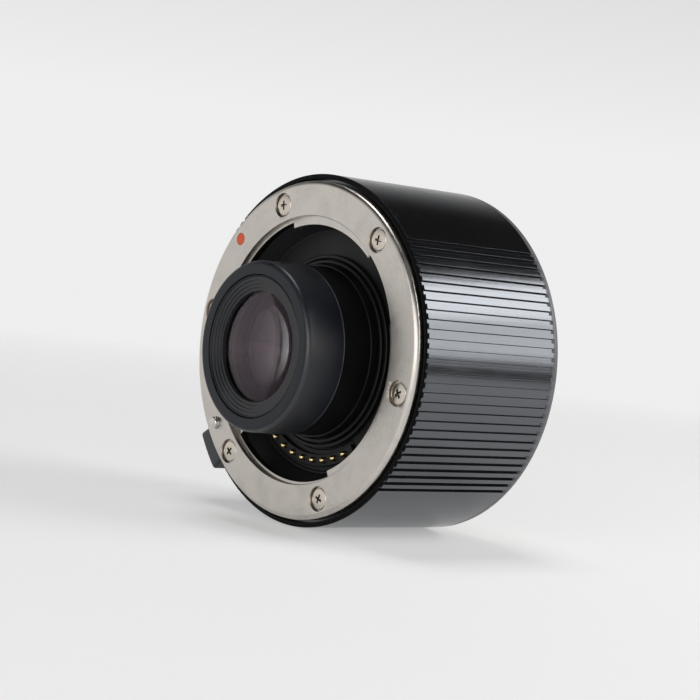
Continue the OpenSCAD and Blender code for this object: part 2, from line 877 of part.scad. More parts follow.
module lens_barrel_screws() {
    color("gray") on_axis() each_barrel_screw(barrel_flange_front - barrel_head_t)
        screw(barrel_head_d, barrel_head_t, barrel_shank_d, shelf_back - barrel_flange_front + barrel_head_t);
}

// Keeps the side of a spherical surface that is glass: behind a front surface, before a rear one
module cut_surface(radius, pole, is_front) {
    bulges = is_front ? radius > 0 : radius < 0;
    if (bulges) intersection() {
        children();
        translate([0, 0, pole + radius]) sphere(r = abs(radius), $fn = glass_fn);
    }
    else difference() {
        children();
        translate([0, 0, pole + radius]) sphere(r = abs(radius), $fn = glass_fn);
    }
}

module lens(i) {
    front_radius = front_curve(i);
    rear_radius = rear_curve(i);
    front = front_pole(i) + min(0, sag(front_radius, hollow_rim_r));
    back = rear_pole(i) + max(0, sag(rear_radius, hollow_rim_r));
    color("lavender") on_axis()
        cut_surface(rear_radius, rear_pole(i), false)
            cut_surface(front_radius, front_pole(i), true)
                translate([0, 0, front]) cylinder(r = lens_r, h = back - front, $fn = glass_fn);
}

module spacer(i) {
    before = spaced[i];
    rear_radius = rear_curve(before);
    front_radius = front_curve(before + 1);
    front = rear_pole(before) + max(sag(rear_radius, spacer_in_r), sag(rear_radius, hollow_rim_r));
    back = front_pole(before + 1) + min(sag(front_radius, spacer_in_r), sag(front_radius, hollow_rim_r));
    color("black") on_axis() ring(spacer_in_r, lens_r, front, back);
}

module rear_retaining_ring() {
    rear_radius = rear_curve(last_lens);
    front = rear_pole(last_lens) + max(sag(rear_radius, spacer_in_r), sag(rear_radius, hollow_rim_r));
    color("black") on_axis() ring(spacer_in_r, lens_r, front, optics_back);
}

module chassis() {
    bore_r = liner_r + slip;
    color("slategray") on_axis() difference() {
        turned([
            [bore_r, chassis_seat],
            [lip_r - slip, chassis_seat],
            [lip_r - slip, chassis_seat + lip_t],
            [chassis_r, chassis_seat + lip_t],
            [chassis_r, chassis_back],
            [rear_plate_r, chassis_back],
            [rear_plate_r, rear_plate_front],
            [chassis_bore_r, rear_plate_front],
            [chassis_bore_r, shelf_back],
            [shelf_r, shelf_back],
            [shelf_r, barrel_flange_back],
            [chassis_bore_r, barrel_flange_back],
            [chassis_bore_r, plate_back],
            [bore_r, plate_back],
        ]);
        each_flange_screw(chassis_seat - over)
            cylinder(d = flange_shank_d + 2 * slip, h = plate_t + 2 * over);
        each_barrel_screw(barrel_flange_back - over)
            cylinder(d = barrel_shank_d + 2 * slip, h = plate_t + 2 * over);
        each_rear_screw(rear_plate_front - over)
            cylinder(d = rear_shank_d + 2 * slip, h = plate_t + 2 * over);
        each_rear_block_screw(chassis_back - rear_block_bite)
            cylinder(d = block_shank_d + 2 * slip, h = rear_block_bite + over);
        at_place(lock_r, lock_pin_clock, chassis_seat - over)
            cylinder(r = lock_pin_r + running, h = plate_t + 2 * over);
        at_place(lock_r, lock_pin_clock, plate_back)
            cylinder(r = channel_r, h = barrel_flange_back - plate_back);
        at_place(lock_r, lock_pin_clock, barrel_flange_back - over)
            cylinder(r = neck_pin_r + running, h = plate_t + 2 * over);
        release_slot();
        flex_slot(barrel_flange_back - over, shelf_back + over);
        flex_slot(rear_plate_front - over, chassis_back + over);
    }
}

// A row of grooves along the barrel, spread about a clock angle
module grip_grooves(count, middle) {
    width = 2 * groove_floor_r * sin(groove_angle / 2);
    for (i = [0:count - 1])
        at_clock(middle + (i - (count - 1) / 2) * groove_pitch)
            translate([groove_floor_r, -width / 2, rib_front - over])
                cube([groove_depth + over, width, rib_back - groove_stop - rib_front + over]);
}

module grip_barrel() {
    color("#202124") on_axis() difference() {
        turned([
            [socket_r, front_setback],
            [rim_r - front_bevel, front_setback],
            [rim_r, front_setback + front_bevel],
            [rim_r, rib_front],
            [barrel_r - land_edge, rib_front],
            [barrel_r, rib_front + land_edge],
            [barrel_r, rib_back],
            [barrel_r - rear_taper, barrel_back],
            [barrel_bore_r, barrel_back],
            [barrel_bore_r, chassis_seat + lip_t],
            [lip_r, chassis_seat + lip_t],
            [lip_r, chassis_seat],
            [socket_r, chassis_seat],
        ]);
        grip_grooves(right_grooves, right_clock);
        grip_grooves(left_grooves, left_clock);
        release_slot();
        at_clock(rear_dot_clock) translate([rear_dot_in_r, 0, rear_dot_depth])
            rotate([0, 90, 0]) cylinder(d = rear_dot_d + 2 * slip, h = barrel_r);
    }
}

module rear_mount_ring() {
    color("silver") on_axis() difference() {
        union() {
            turned([
                [spigot_in_r, chassis_back],
                [rear_flange_r, chassis_back],
                [rear_flange_r, body_length],
                [relief_r, body_length],
                [relief_r, body_length - relief_depth],
                [spigot_r, body_length - relief_depth],
                [spigot_r, spigot_back - spigot_chamfer],
                [spigot_r - spigot_chamfer, spigot_back],
                [spigot_in_r, spigot_back],
            ]);
            for (i = [0:tab_count - 1])
                bent_block(spigot_r - tab_root, rear_tab_r, rear_tab_front, rear_tab_front + rear_tab_t,
                           tab_clocks[i], rear_tab_angle(i) / 2);
        }
        each_rear_screw(body_length - rear_head_sink - rear_head_t)
            cylinder(d = rear_screw_head + 2 * counterbore_play, h = rear_head_sink + rear_head_t + over);
        each_rear_screw(chassis_back - over)
            cylinder(d = rear_shank_d + 2 * shank_play, h = rear_flange_t + 2 * over);
        at_place(lock_r, lock_pin_clock, body_length - lock_hole_depth)
            cylinder(r = lock_hole_r, h = lock_hole_depth + over);
    }
}

module rear_mount_screws() {
    color("ivory") on_axis() each_rear_screw(body_length - rear_head_sink)
        rear_screw(rear_screw_head, rear_head_t, rear_shank_d,
                   body_length - rear_head_sink - rear_plate_front - slip);
}

module rear_gasket() {
    in_r = rear_flange_r + slip;
    out_r = chassis_r - slip;
    color("#1a1a1a") on_axis() turned([
        [in_r, chassis_back],
        [out_r, chassis_back],
        [out_r, gasket_back - gasket_lip],
        [(in_r + out_r) / 2, gasket_back],
        [in_r, gasket_back - gasket_lip],
    ]);
}

module rear_index_dot() {
    color("orangered") on_axis() at_clock(rear_dot_clock) translate([rear_dot_in_r, 0, rear_dot_depth])
        rotate([0, 90, 0]) cylinder(d = rear_dot_d, h = rear_dot_t - rear_dot_sink);
}

module rear_contact_block() {
    color("black") on_axis() difference() {
        bent_block(contact_r - rear_block_half_w, contact_r + rear_block_half_w, chassis_back,
                   rear_block_back, contact_clock, rear_block_half);
        each_contact(rear_block_back - rear_pad_t) cylinder(r = rear_pad_r + slip, h = rear_pad_t + over);
        each_rear_block_screw(rear_block_back - rear_block_head_t)
            cylinder(d = rear_block_head_d + 2 * slip, h = rear_block_head_t + over);
        each_rear_block_screw(chassis_back - over)
            cylinder(d = block_shank_d + 2 * slip, h = rear_block_back - chassis_back + over);
    }
}

module rear_contact_pads() {
    color("gold") on_axis() each_contact(rear_block_back - rear_pad_t)
        cylinder(r = rear_pad_r, h = rear_pad_t + rear_pad_out);
}

module rear_contact_screws() {
    color("gray") on_axis() each_rear_block_screw(rear_block_back)
        rear_screw(rear_block_head_d, rear_block_head_t, block_shank_d,
                   rear_block_back - chassis_back + rear_block_bite - slip);
}

module rear_cover() {
    step = (cover_out_r - cover_in_r) / cover_grooves;
    color("black") on_axis() difference() {
        ring(cover_in_r, cover_out_r, chassis_back, cover_back);
        for (i = [0:cover_grooves - 1]) {
            groove_r = cover_in_r + (i + 0.5) * step;
            ring(groove_r - cover_groove_w / 2, groove_r + cover_groove_w / 2,
                 cover_back - cover_groove_depth, cover_back + over);
        }
        bent_block(cover_in_r - over, cover_out_r + over, chassis_back - over, cover_back + over,
                   contact_clock, rear_block_half + cover_cut_angle);
    }
}

// A rectangular window with rounded corners
module window(front, back) {
    for (size = [[window_w, window_h - 2 * window_corner], [window_w - 2 * window_corner, window_h]])
        translate([-size[0] / 2, -size[1] / 2, front]) cube([size[0], size[1], back - front]);
    for (x = [-1, 1], y = [-1, 1])
        translate([x * (window_w / 2 - window_corner), y * (window_h / 2 - window_corner), front])
            cylinder(r = window_corner, h = back - front);
}

module rear_baffle() {
    in_r = neck_r + baffle_play;
    color("black") on_axis() difference() {
        turned([
            [0, optics_back],
            [in_r, optics_back],
            [in_r, baffle_front],
            [baffle_r, baffle_front],
            [baffle_r, baffle_back],
            [0, baffle_back],
        ]);
        window(optics_back - over, baffle_back + over);
    }
}

front_mount_ring();
front_mount_screws();
front_index_dot();
bayonet_leaf_springs();
lock_pin();
lock_pin_clip();
lock_pin_spring();
release_carrier();
release_button();
throat_liner();
contact_block();
contact_springs();
contact_board();
contact_block_screws();
flex_cable();
nose_sleeve();
front_retaining_ring();
lens_barrel();
lens_barrel_screws();
rear_retaining_ring();
chassis();
grip_barrel();
rear_mount_ring();
rear_mount_screws();
rear_gasket();
rear_index_dot();
rear_contact_block();
rear_contact_pads();
rear_contact_screws();
rear_cover();
rear_baffle();
for (i = [1:contact_count]) contact_pin(i);
for (i = [1:len(lenses)]) lens(i - 1);
for (i = [1:len(spaced)]) spacer(i - 1);
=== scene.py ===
"""Looks of a camera teleconverter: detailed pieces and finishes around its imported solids.

Sizes are in millimetres: radii from the optical axis, depths from the face of the front flange.
A clock angle is seen from the front: 0 is right and 90 is up.
"""

import math

import bmesh
import bpy
from mathutils import Matrix, Vector

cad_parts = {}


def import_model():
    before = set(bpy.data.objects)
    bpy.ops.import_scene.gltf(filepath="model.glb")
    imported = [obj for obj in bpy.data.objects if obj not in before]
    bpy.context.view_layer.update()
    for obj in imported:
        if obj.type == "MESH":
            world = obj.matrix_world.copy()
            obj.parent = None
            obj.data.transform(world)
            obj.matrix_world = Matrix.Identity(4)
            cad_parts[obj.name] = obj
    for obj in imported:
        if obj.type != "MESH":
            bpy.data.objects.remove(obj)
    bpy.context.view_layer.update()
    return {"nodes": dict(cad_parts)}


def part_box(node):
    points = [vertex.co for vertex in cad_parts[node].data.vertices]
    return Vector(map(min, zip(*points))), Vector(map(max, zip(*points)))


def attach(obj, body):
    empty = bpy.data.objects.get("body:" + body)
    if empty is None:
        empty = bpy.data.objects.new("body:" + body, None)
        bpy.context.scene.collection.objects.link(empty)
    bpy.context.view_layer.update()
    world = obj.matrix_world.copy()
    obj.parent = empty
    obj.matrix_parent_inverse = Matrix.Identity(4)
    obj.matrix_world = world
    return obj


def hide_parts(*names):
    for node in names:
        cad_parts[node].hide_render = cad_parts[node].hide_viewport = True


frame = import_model()

MM = 0.001
X, Y = 0, 1


def reach(node, axis):
    """The lowest and highest coordinate of a solid along one axis."""
    low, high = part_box(node)
    return low[axis] / MM, high[axis] / MM


def depths(node):
    """The depths of a solid's front and back."""
    return [end - FRONT for end in reach(node, Y)]


# Sizes read from the solids
FRONT = reach("front_mount_ring", Y)[0]
LENGTH = -FRONT
FLANGE_R = reach("front_mount_ring", X)[1]
FLANGE_T = depths("front_mount_ring")[1]
BARREL_R = reach("grip_barrel", X)[1]
BARREL_FRONT, BARREL_BACK = depths("grip_barrel")
NOSE_FACE, NOSE_BACK = depths("nose_sleeve")
NOSE_REAR_R = reach("nose_sleeve", X)[1]
RING_R = reach("front_retaining_ring", X)[1]
RING_FACE, RING_BACK = depths("front_retaining_ring")
LENS_R = reach("lens_1", X)[1]
OPTICS_BACK = depths("lens_barrel")[1]
CHASSIS_BACK = depths("chassis")[1]
REAR_FLANGE_R = reach("rear_mount_ring", X)[1]
SPIGOT_BACK = depths("rear_mount_ring")[1]
REAR_BLOCK_BACK = depths("rear_contact_block")[1]
COVER_BACK = depths("rear_cover")[1]
BAFFLE_FRONT, BAFFLE_BACK = depths("rear_baffle")
BUTTON_FRONT, BUTTON_BACK = depths("release_button")
PIN_TIP, PIN_END = depths("contact_pin_01")
LOCK_TIP, LOCK_END = depths("lock_pin")
LINER_BACK = depths("throat_liner")[1]
BLOCK_FRONT, BLOCK_BACK = depths("contact_block")

# Fits: how far a cutting tool reaches past its cut, and the gaps round sliding and set-in pieces
OVER = 1.0
SLIDE_GAP = 0.06
SET_GAP = 0.05
EDGE_BREAK = 0.06

# Front mount
THROAT_R = 22.0
THROAT_STEP_R = 21.6
THROAT_CHAMFER = 0.1
FLANGE_EDGE = 0.8
TAB_R = 20.65
TAB_FRONT = 1.1
TAB_BACK = 2.3
TAB_ROOT = 0.3
TABS = ((80, 28.5), (200, 28.5), (337, 41))
SCREW_CIRCLE = 24.8
SCREW_CLOCKS = (51, 111, 171, 231, 291, 351)
SCREW_TURNS = (6, -8, 30, 40, 18, -32)
SCREW_HEAD_R = 1.7
SCREW_HEAD_T = 0.65
SCREW_SINK = 0.12
SCREW_SHANK_R = 0.8
SCREW_END = 4.2
COUNTERBORE_R = 2.05
SHANK_HOLE_R = 1.0
DOT_CIRCLE = 25.4
DOT_CLOCK = 139
DOT_R = 1.0
DOT_T = 0.25
LOCK_CIRCLE = 25.0
LOCK_CLOCK = -143
LOCK_PIN_R = 1.0
LOCK_NECK_R = 0.6
LOCK_NECK = 4.55
LEAVES = ((140, 26), (262.25, 28.25), (34.75, 11.25))
LEAF_IN_R = 21.65
LEAF_OUT_R = 23.5
LEAF_FRONT = 1.45
LEAF_T = 0.3
LEAF_FOOT = 4
LEAF_PLAY = 0.5
BUTTON_LIFT = 0.15
BUTTON_HEIGHT = 3.4
BUTTON_HALF = 6.5
BUTTON_ROUND = 0.55
BUTTON_POCKET = (4.55, 6.05)
POCKET_DEPTH = 1.25
POCKET_HALF = 5.55
LINE_PITCH = 1.0
LINE_DEPTH = 0.3
LINE_W = 0.2
LINE_HALF = 6

# Cross-head screws: shares of the head's radius and thickness, and the cross at its top and bottom
SCREW_DOME = 0.16
CROWN_SHARE = 0.55
CROWN_RISE = 0.28
CROSS_REACH = (1.0, 0.5)
CROSS_W = (0.4, 0.2)
CROSS_DEPTH = 0.75
SCREW_STEPS = 48

# Throat and contacts
NECK_R = 13.85
LINER_IN_R = 13.95
LINER_R = 22.5
LINER_SKIRT_R = 21.2
FLOOR = 5.5
FLOOR_BACK = 6.7
FUNNEL_R = 20.1
FUNNEL_FRONT = 2.9
RIDGES = ((14.45, 1.3), (15.33, 0.9))
RIDGE_W = 0.68
LINER_LIP = 2.6
LINER_LIP_T = 0.3
CONTACT_CIRCLE = 18.0
CONTACT_CLOCK = -99
CONTACT_PITCH = 8.4
CONTACT_COUNT = 10
CONTACT_HALF = CONTACT_PITCH * (CONTACT_COUNT - 1) / 2
BLOCK_HALF = CONTACT_HALF + 6.2
BASE_HALF = BLOCK_HALF + 6
LEDGE_W = 0.98
LEDGE_STEP_W = 1.75
LEDGE_WINDOW = 1.85
BASE_W = 2.4
LEDGE_SCREW = BLOCK_HALF + 3
LEDGE_SCREW_HOLE_R = 0.55
PIN_R = 0.5
COLLAR_R = 0.78
COLLAR_FRONT = 5.7
COLLAR_BACK = 6.3
TAIL_R = 0.35

# Lens cell
NOSE_TAPER = 0.2
NOSE_ROUND = 0.8
NOSE_SEAM = 0.2
NOSE_SKIN = 0.6
CELL_R = 12.6
CELL_FLANGE_R = THROAT_R + 0.45
CELL_FLANGE_T = 1.6
CELL_SCREW_CIRCLE = THROAT_R - 2.4
CELL_SCREW_CLOCKS = (80, 200, 320)
CELL_SCREW_HOLE_R = 0.9
FLEX_SLOT = (1.0, 3.6, 10.8)
APERTURE_R = 8.97
RING_LAND = 0.35
RING_STEPS = 4
RING_DEPTH = 0.9
RING_RELIEF = 0.1

# Grip barrel
RIM_R = 28.47
RIM_BEVEL = 0.15
SOCKET_R = 28.18
LIP_R = 26.88
LIP_T = 0.6
BORE_R = 27.45
RIB_FRONT = 1.6
GROOVE_DEPTH = 0.36
GROOVE_END = 29.7
RUN_OUT = 0.3
REAR_TAPER = 0.05
REAR_ROUND = 0.12
FINE_BEVEL = 0.03
REAR_DOT_DEPTH = 27.5
REAR_DOT_R = 0.9
REAR_DOT_SINK = 0.6
GROOVE_PITCH = 3.05
GROOVE_HALF = 0.7
GROOVE_ROWS = ((29, 0.65), (23, 170.2))
LAND_ROUND = 0.024
WALL_LEANS = {-1: 0.04, 1: 0.1}
SLOT_CLOCK = -140
SLOT_HALF = 5.9
SLOT_FRONT = 4.5
SLOT_BACK = 7.3

# Rear mount
SPIGOT_R = 20.5
SPIGOT_IN_R = 19.5
REAR_TABS = ((80, 28.5), (200, 28.5), (337, 14))
REAR_TAB_R = 21.5
REAR_TAB_FRONT = 33.1
REAR_TAB_BACK = 34.4
RELIEF_R = 21.65
RELIEF_DEPTH = 0.2
REAR_SCREW_CIRCLE = 23.4
REAR_SCREW_CLOCKS = (20, 110, 200, 290)
REAR_SCREW_TURNS = (15, -20, 38, 5)
REAR_SCREW_HEAD_R = 1.6
REAR_SCREW_HEAD_T = 0.8
REAR_SCREW_SINK = 0.1
REAR_SCREW_GRIP = 1.95
REAR_LOCK_DEPTH = 1.2
REAR_LOCK_GAP = 0.15
REAR_LEDGE_W = 1.4
REAR_BLOCK_SCREW = CONTACT_HALF + 7.2
REAR_BLOCK_HALF = CONTACT_HALF + 12.5
PAD_R = 0.7
PAD_T = 0.6
PAD_RISE = 0.05
REAR_BLOCK_SCREW_R = 1.1
REAR_BLOCK_SCREW_GRIP = 1.45
REAR_BLOCK_SCREW_TURN = 25
BAFFLE_R = 15.15
WINDOW_W = 20
WINDOW_H = 14
WINDOW_CORNER = 1.5
COVER_IN_R = 15.35
COVER_R = 19.4

# Optics: thickness as a share of the glass's length, curves as multiples of the elements' radius
LENSES = (
    (0.0993, 5.83, -5.83),
    (0.0298, -3.88, 2.14),
    (0.129, 2.14, -3.5),
    (0.119, 5.83, -1.94),
    (0.0298, -1.94, 19.4),
    (0.0298, -7.77, 2.33),
    (0.149, 2.33, -2.33),
    (0.0298, -2.33, 7.77),
    (0.0844, -3.88, -5.83),
)
GLASS_FRONT = NOSE_FACE + 0.85
GLASS_BACK = LENGTH + 1.0
GLASS_LENGTH = GLASS_BACK - GLASS_FRONT
CEMENT = 0.02
SPACES = {0: 0.0745 * GLASS_LENGTH, 2: 0.0645 * GLASS_LENGTH, 7: 0.0745 * GLASS_LENGTH}
CEMENTED = (1, 3, 5, 6)
WIDE_SPACE = 4
OUTER_LENSES = (0, len(LENSES) - 1)
HOLLOW_RIM = 0.2

# Resolution of the meshes
TURN_STEPS = 192
SMALL_STEPS = 40
LENS_STEPS = 96
ARC_STEPS = 6
SHARP = math.radians(32)


# Meshes, modelled in millimetres
def at(r, clock, s):
    """The point at a radius, clock angle and depth."""
    a = math.radians(clock)
    return Vector((r * math.cos(a), FRONT + s, r * math.sin(a)))


def rounded(corners):
    """An outline of (r, s) points from corners, each (r, s) or, for a round, (r, s, its radius)."""
    points = []
    for i, corner in enumerate(corners):
        here = Vector(corner[:2])
        if len(corner) == 2:
            points.append(here)
            continue
        before = (Vector(corners[i - 1][:2]) - here).normalized()
        after = (Vector(corners[(i + 1) % len(corners)][:2]) - here).normalized()
        half = before.angle(after) / 2
        centre = here + (before + after).normalized() * corner[2] / math.sin(half)
        start = here + before * corner[2] / math.tan(half) - centre
        sweep = math.pi - 2 * half
        if start.x * after.y - start.y * after.x < 0:
            sweep = -sweep
        for k in range(ARC_STEPS + 1):
            turn = Matrix.Rotation(sweep * k / ARC_STEPS, 2)
            points.append(centre + turn @ start)
    return points


def as_piece(name, bm):
    """A closed mesh in millimetres as a piece in metres."""
    bmesh.ops.remove_doubles(bm, verts=bm.verts, dist=1e-6)
    bmesh.ops.recalc_face_normals(bm, faces=bm.faces)
    mesh = bpy.data.meshes.new(name)
    bm.transform(Matrix.Scale(MM, 4))
    bm.to_mesh(mesh)
    bm.free()
    piece = bpy.data.objects.new(name, mesh)
    bpy.context.scene.collection.objects.link(piece)
    return piece


def add_turned(bm, outline, clock=0.0, half=180.0, steps=TURN_STEPS, axis=None, faces=None):
    """Turns a closed outline of (r, s) points about the optical axis, or about an axis of its own.

    half is how far it reaches to each side of the clock angle, and faces numbers the finish of
    the surface that starts at each point.
    """
    place = axis or Matrix.Translation((0, FRONT, 0))
    whole = half >= 180
    count = steps if whole else max(2, math.ceil(steps * half / 180))
    rings = []
    for i in range(count if whole else count + 1):
        a = math.radians(clock - half + 2 * half * i / count)
        ring = [place @ Vector((r * math.cos(a), s, r * math.sin(a))) for r, s in outline]
        rings.append([bm.verts.new(point) for point in ring])
    pairs = list(zip(rings, rings[1:]))
    if whole:
        pairs.append((rings[-1], rings[0]))
    for one, two in pairs:
        for i in range(len(outline)):
            j = (i + 1) % len(outline)
            if outline[i][0] < 1e-9 and outline[j][0] < 1e-9:
                continue
            corners = [one[i], one[j], two[j], two[i]]
            if outline[i][0] < 1e-9:
                corners = corners[:3]
            elif outline[j][0] < 1e-9:
                corners = [one[i], one[j], two[i]]
            face = bm.faces.new(corners)
            if faces:
                face.material_index = faces[i]
    if not whole:
        bm.faces.new(rings[0])
        bm.faces.new(rings[-1][::-1])


def turned(name, outline, clock=0.0, half=180.0, **how):
    """One turned piece, all round the axis or part of the way."""
    bm = bmesh.new()
    add_turned(bm, outline, clock, half, **how)
    return as_piece(name, bm)


def bent(name, r1, r2, s1, s2, clock, half):
    """A block bent round the axis."""
    return turned(name, [(r1, s1), (r2, s1), (r2, s2), (r1, s2)], clock, half)


def upright(r, clock, s, turn=0.0):
    """The place of something that stands along the optical axis."""
    return Matrix.Translation(at(r, clock, s)) @ Matrix.Rotation(math.radians(turn), 4, "Y")


def studs(name, outline, places):
    """Copies of one small turned shape, each in its place, as one piece."""
    bm = bmesh.new()
    for place in places:
        add_turned(bm, outline, steps=SMALL_STEPS, axis=place)
    return as_piece(name, bm)


def block(name, size, place):
    """A plain block round a place."""
    bm = bmesh.new()
    bmesh.ops.create_cube(bm, size=1, matrix=place @ Matrix.Diagonal((*size, 1)))
    return as_piece(name, bm)


def settle(piece):
    """Makes what a piece's modifiers do its own mesh."""
    graph = bpy.context.evaluated_depsgraph_get()
    mesh = bpy.data.meshes.new_from_object(piece.evaluated_get(graph))
    piece.modifiers.clear()
    piece.data = mesh
    mesh.name = piece.name


def carve(piece, tools, operation="DIFFERENCE"):
    """Cuts tools out of a piece, or joins them to it."""
    for tool in tools:
        step = piece.modifiers.new("carve", "BOOLEAN")
        step.operation = operation
        step.solver = "EXACT"
        step.object = tool
    settle(piece)
    for tool in tools:
        bpy.data.objects.remove(tool)
    return piece


def soften(piece, width, segments=2):
    """Rounds the sharp edges of a piece by a small width."""
    edge = piece.modifiers.new("edges", "BEVEL")
    edge.width = width * MM
    edge.segments = segments
    edge.limit_method = "ANGLE"
    edge.angle_limit = SHARP
    settle(piece)
    return piece


def where(face):
    """The radius and depth of a face's middle."""
    x, y, z = face.center / MM
    return math.hypot(x, z), y - FRONT


def show(piece, looks, slot, *nodes, body="housing"):
    """Shades a piece, gives it its looks, attaches it to its body and hides the solids it stands for."""
    for face in piece.data.polygons:
        face.use_smooth = True
    piece.data.set_sharp_from_angle(angle=SHARP)
    weights = piece.modifiers.new("normals", "WEIGHTED_NORMAL")
    weights.keep_sharp = True
    slots = piece.data.materials
    for i, look in enumerate(looks if isinstance(looks, list) else [looks]):
        if i < len(slots):
            slots[i] = look
        else:
            slots.append(look)
    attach(piece, body)
    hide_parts(*nodes)


# Finishes
class Look:
    """A material whose nodes are added step by step."""

    def __init__(self, name, colour, roughness, metallic=0.0, **sockets):
        self.material = bpy.data.materials.new(name)
        self.material.use_nodes = True
        self.nodes = self.material.node_tree.nodes
        self.links = self.material.node_tree.links
        self.shader = self.nodes["Principled BSDF"]
        self.set("Base Color", (*colour, 1))
        self.set("Roughness", roughness)
        self.set("Metallic", metallic)
        for socket, value in sockets.items():
            self.set(socket.replace("_", " "), value)

    def set(self, socket, value):
        self.shader.inputs[socket].default_value = value

    def node(self, kind, **values):
        node = self.nodes.new(kind)
        for key, value in values.items():
            setattr(node, key, value)
        return node

    def math(self, operation, one, two=None):
        node = self.node("ShaderNodeMath", operation=operation)
        for socket, value in zip(node.inputs, (one, two)):
            if isinstance(value, bpy.types.NodeSocket):
                self.links.new(value, socket)
            elif value is not None:
                socket.default_value = value
        return node.outputs[0]

    def place(self):
        """Coordinates in the part's own frame, in metres."""
        return self.node("ShaderNodeTexCoord").outputs["Object"]

    def polar(self, across, round_, along):
        """Coordinates that follow the turning: by radius, round the axis and along it."""
        split = self.node("ShaderNodeSeparateXYZ")
        self.links.new(self.place(), split.inputs[0])
        x, y, z = split.outputs
        r = self.math("SQRT", self.math("ADD", self.math("MULTIPLY", x, x), self.math("MULTIPLY", z, z)))
        join = self.node("ShaderNodeCombineXYZ")
        outward, forward = self.math("MULTIPLY", r, across / MM), self.math("MULTIPLY", y, along / MM)
        self.links.new(self.math("ADD", outward, forward), join.inputs[0])
        self.links.new(self.math("MULTIPLY", self.math("DIVIDE", x, r), round_), join.inputs[1])
        self.links.new(self.math("MULTIPLY", self.math("DIVIDE", z, r), round_), join.inputs[2])
        return join.outputs[0]

    def blend(self, one, two, share):
        """Two values mixed, with a share of the first."""
        return self.math("ADD", self.math("MULTIPLY", one, share), self.math("MULTIPLY", two, 1 - share))

    def noise(self, vector, scale, detail=3.0):
        node = self.node("ShaderNodeTexNoise")
        node.inputs["Scale"].default_value = scale
        node.inputs["Detail"].default_value = detail
        self.links.new(vector, node.inputs["Vector"])
        return node.outputs["Fac"]

    def span(self, value, low, high, start=0.3, end=0.7):
        """A value spread from start and end to low and high."""
        node = self.node("ShaderNodeMapRange")
        for socket, number in zip(node.inputs[1:], (start, end, low, high)):
            socket.default_value = number
        self.links.new(value, node.inputs["Value"])
        return node.outputs["Result"]

    def roughen(self, value, low, high, **ends):
        self.links.new(self.span(value, low, high, **ends), self.shader.inputs["Roughness"])

    def colours(self, value, stops):
        """A base colour along stops of (value, colour)."""
        ramp = self.node("ShaderNodeValToRGB")
        marks = ramp.color_ramp.elements
        while len(marks) < len(stops):
            marks.new(1.0)
        for mark, (where, colour) in zip(marks, stops):
            mark.position = where
            mark.color = (*colour, 1)
        self.links.new(value, ramp.inputs["Fac"])
        self.links.new(ramp.outputs["Color"], self.shader.inputs["Base Color"])

    def bump(self, height, distance, strength=1.0):
        """Adds a height, in millimetres, to the surface's bumps."""
        node = self.node("ShaderNodeBump")
        node.inputs["Strength"].default_value = strength
        node.inputs["Distance"].default_value = distance * MM
        self.links.new(height, node.inputs["Height"])
        normal = self.shader.inputs["Normal"]
        if normal.is_linked:
            self.links.new(normal.links[0].from_socket, node.inputs["Normal"])
        self.links.new(node.outputs["Normal"], normal)


def nickel(name, colour, low, high):
    """Plated metal, turned to a satin finish, with fine rings, dull patches and small pits."""
    look = Look(name, colour, low, 1.0, Anisotropic=0.45)
    rings = look.noise(look.polar(9.0, 3.0, 9.0), 1.0, 5.0)
    patches = look.noise(look.place(), 260.0, 4.0)
    pits = look.noise(look.place(), 2600.0, 1.0)
    dull = [c * 0.88 for c in colour]
    warm = [c * f for c, f in zip(colour, (1.05, 1.02, 0.97))]
    look.colours(patches, ((0.3, dull), (0.55, colour), (0.75, warm)))
    look.roughen(look.blend(rings, patches, 0.6), low, high)
    look.bump(rings, 0.004)
    look.bump(look.span(pits, 0, 1, 0.24, 0.3), 0.01)
    tangent = look.node("ShaderNodeTangent", direction_type="RADIAL", axis="Y")
    look.links.new(tangent.outputs[0], look.shader.inputs["Tangent"])
    return look.material


def moulded(name, colour, low, high, grain=9000.0, depth=0.01, **sockets):
    """A matte surface with a fine grain and faint uneven gloss."""
    look = Look(name, colour, low, **sockets)
    patches = look.noise(look.place(), 180.0, 4.0)
    fine = look.noise(look.place(), grain, 2.0)
    pale = [c * 1.25 for c in colour]
    dark = [c * 0.8 for c in colour]
    look.colours(patches, ((0.3, dark), (0.5, colour), (0.72, pale)))
    look.roughen(patches, low, high)
    look.bump(fine, depth)
    return look.material


def steel(name, colour, low, high):
    """Drawn or ground metal with a fine uneven grain."""
    look = Look(name, colour, low, 1.0)
    grain = look.noise(look.place(), 5200.0, 4.0)
    patches = look.noise(look.place(), 700.0, 3.0)
    look.colours(patches, ((0.3, [c * 0.8 for c in colour]), (0.7, colour)))
    look.roughen(grain, low, high)
    look.bump(grain, 0.003)
    return look.material


def anodised(name):
    """Black anodised metal whose gloss is drawn out along the axis, with a few pale specks."""
    black, pale = (0.006, 0.006, 0.0065), (0.05, 0.05, 0.052)
    look = Look(name, black, 0.2, IOR=2.05, Specular_Tint=(0.87, 0.92, 1.0, 1))
    streaks = look.noise(look.polar(0.0, 620.0, 0.09), 1.0, 3.0)
    patches = look.noise(look.place(), 150.0, 4.0)
    specks = look.noise(look.place(), 1500.0, 1.0)
    look.roughen(look.blend(streaks, patches, 0.7), 0.1, 0.24)
    look.colours(specks, ((0.74, black), (0.8, pale)))
    look.bump(streaks, 0.004)
    look.bump(patches, 0.01, 0.3)
    return look.material


def paint(name, colour, low, high):
    """Filled paint, slightly uneven."""
    look = Look(name, colour, low)
    patches = look.noise(look.place(), 1500.0, 3.0)
    look.colours(patches, ((0.3, [c * 0.85 for c in colour]), (0.7, colour)))
    look.roughen(patches, low, high)
    look.bump(patches, 0.02)
    return look.material


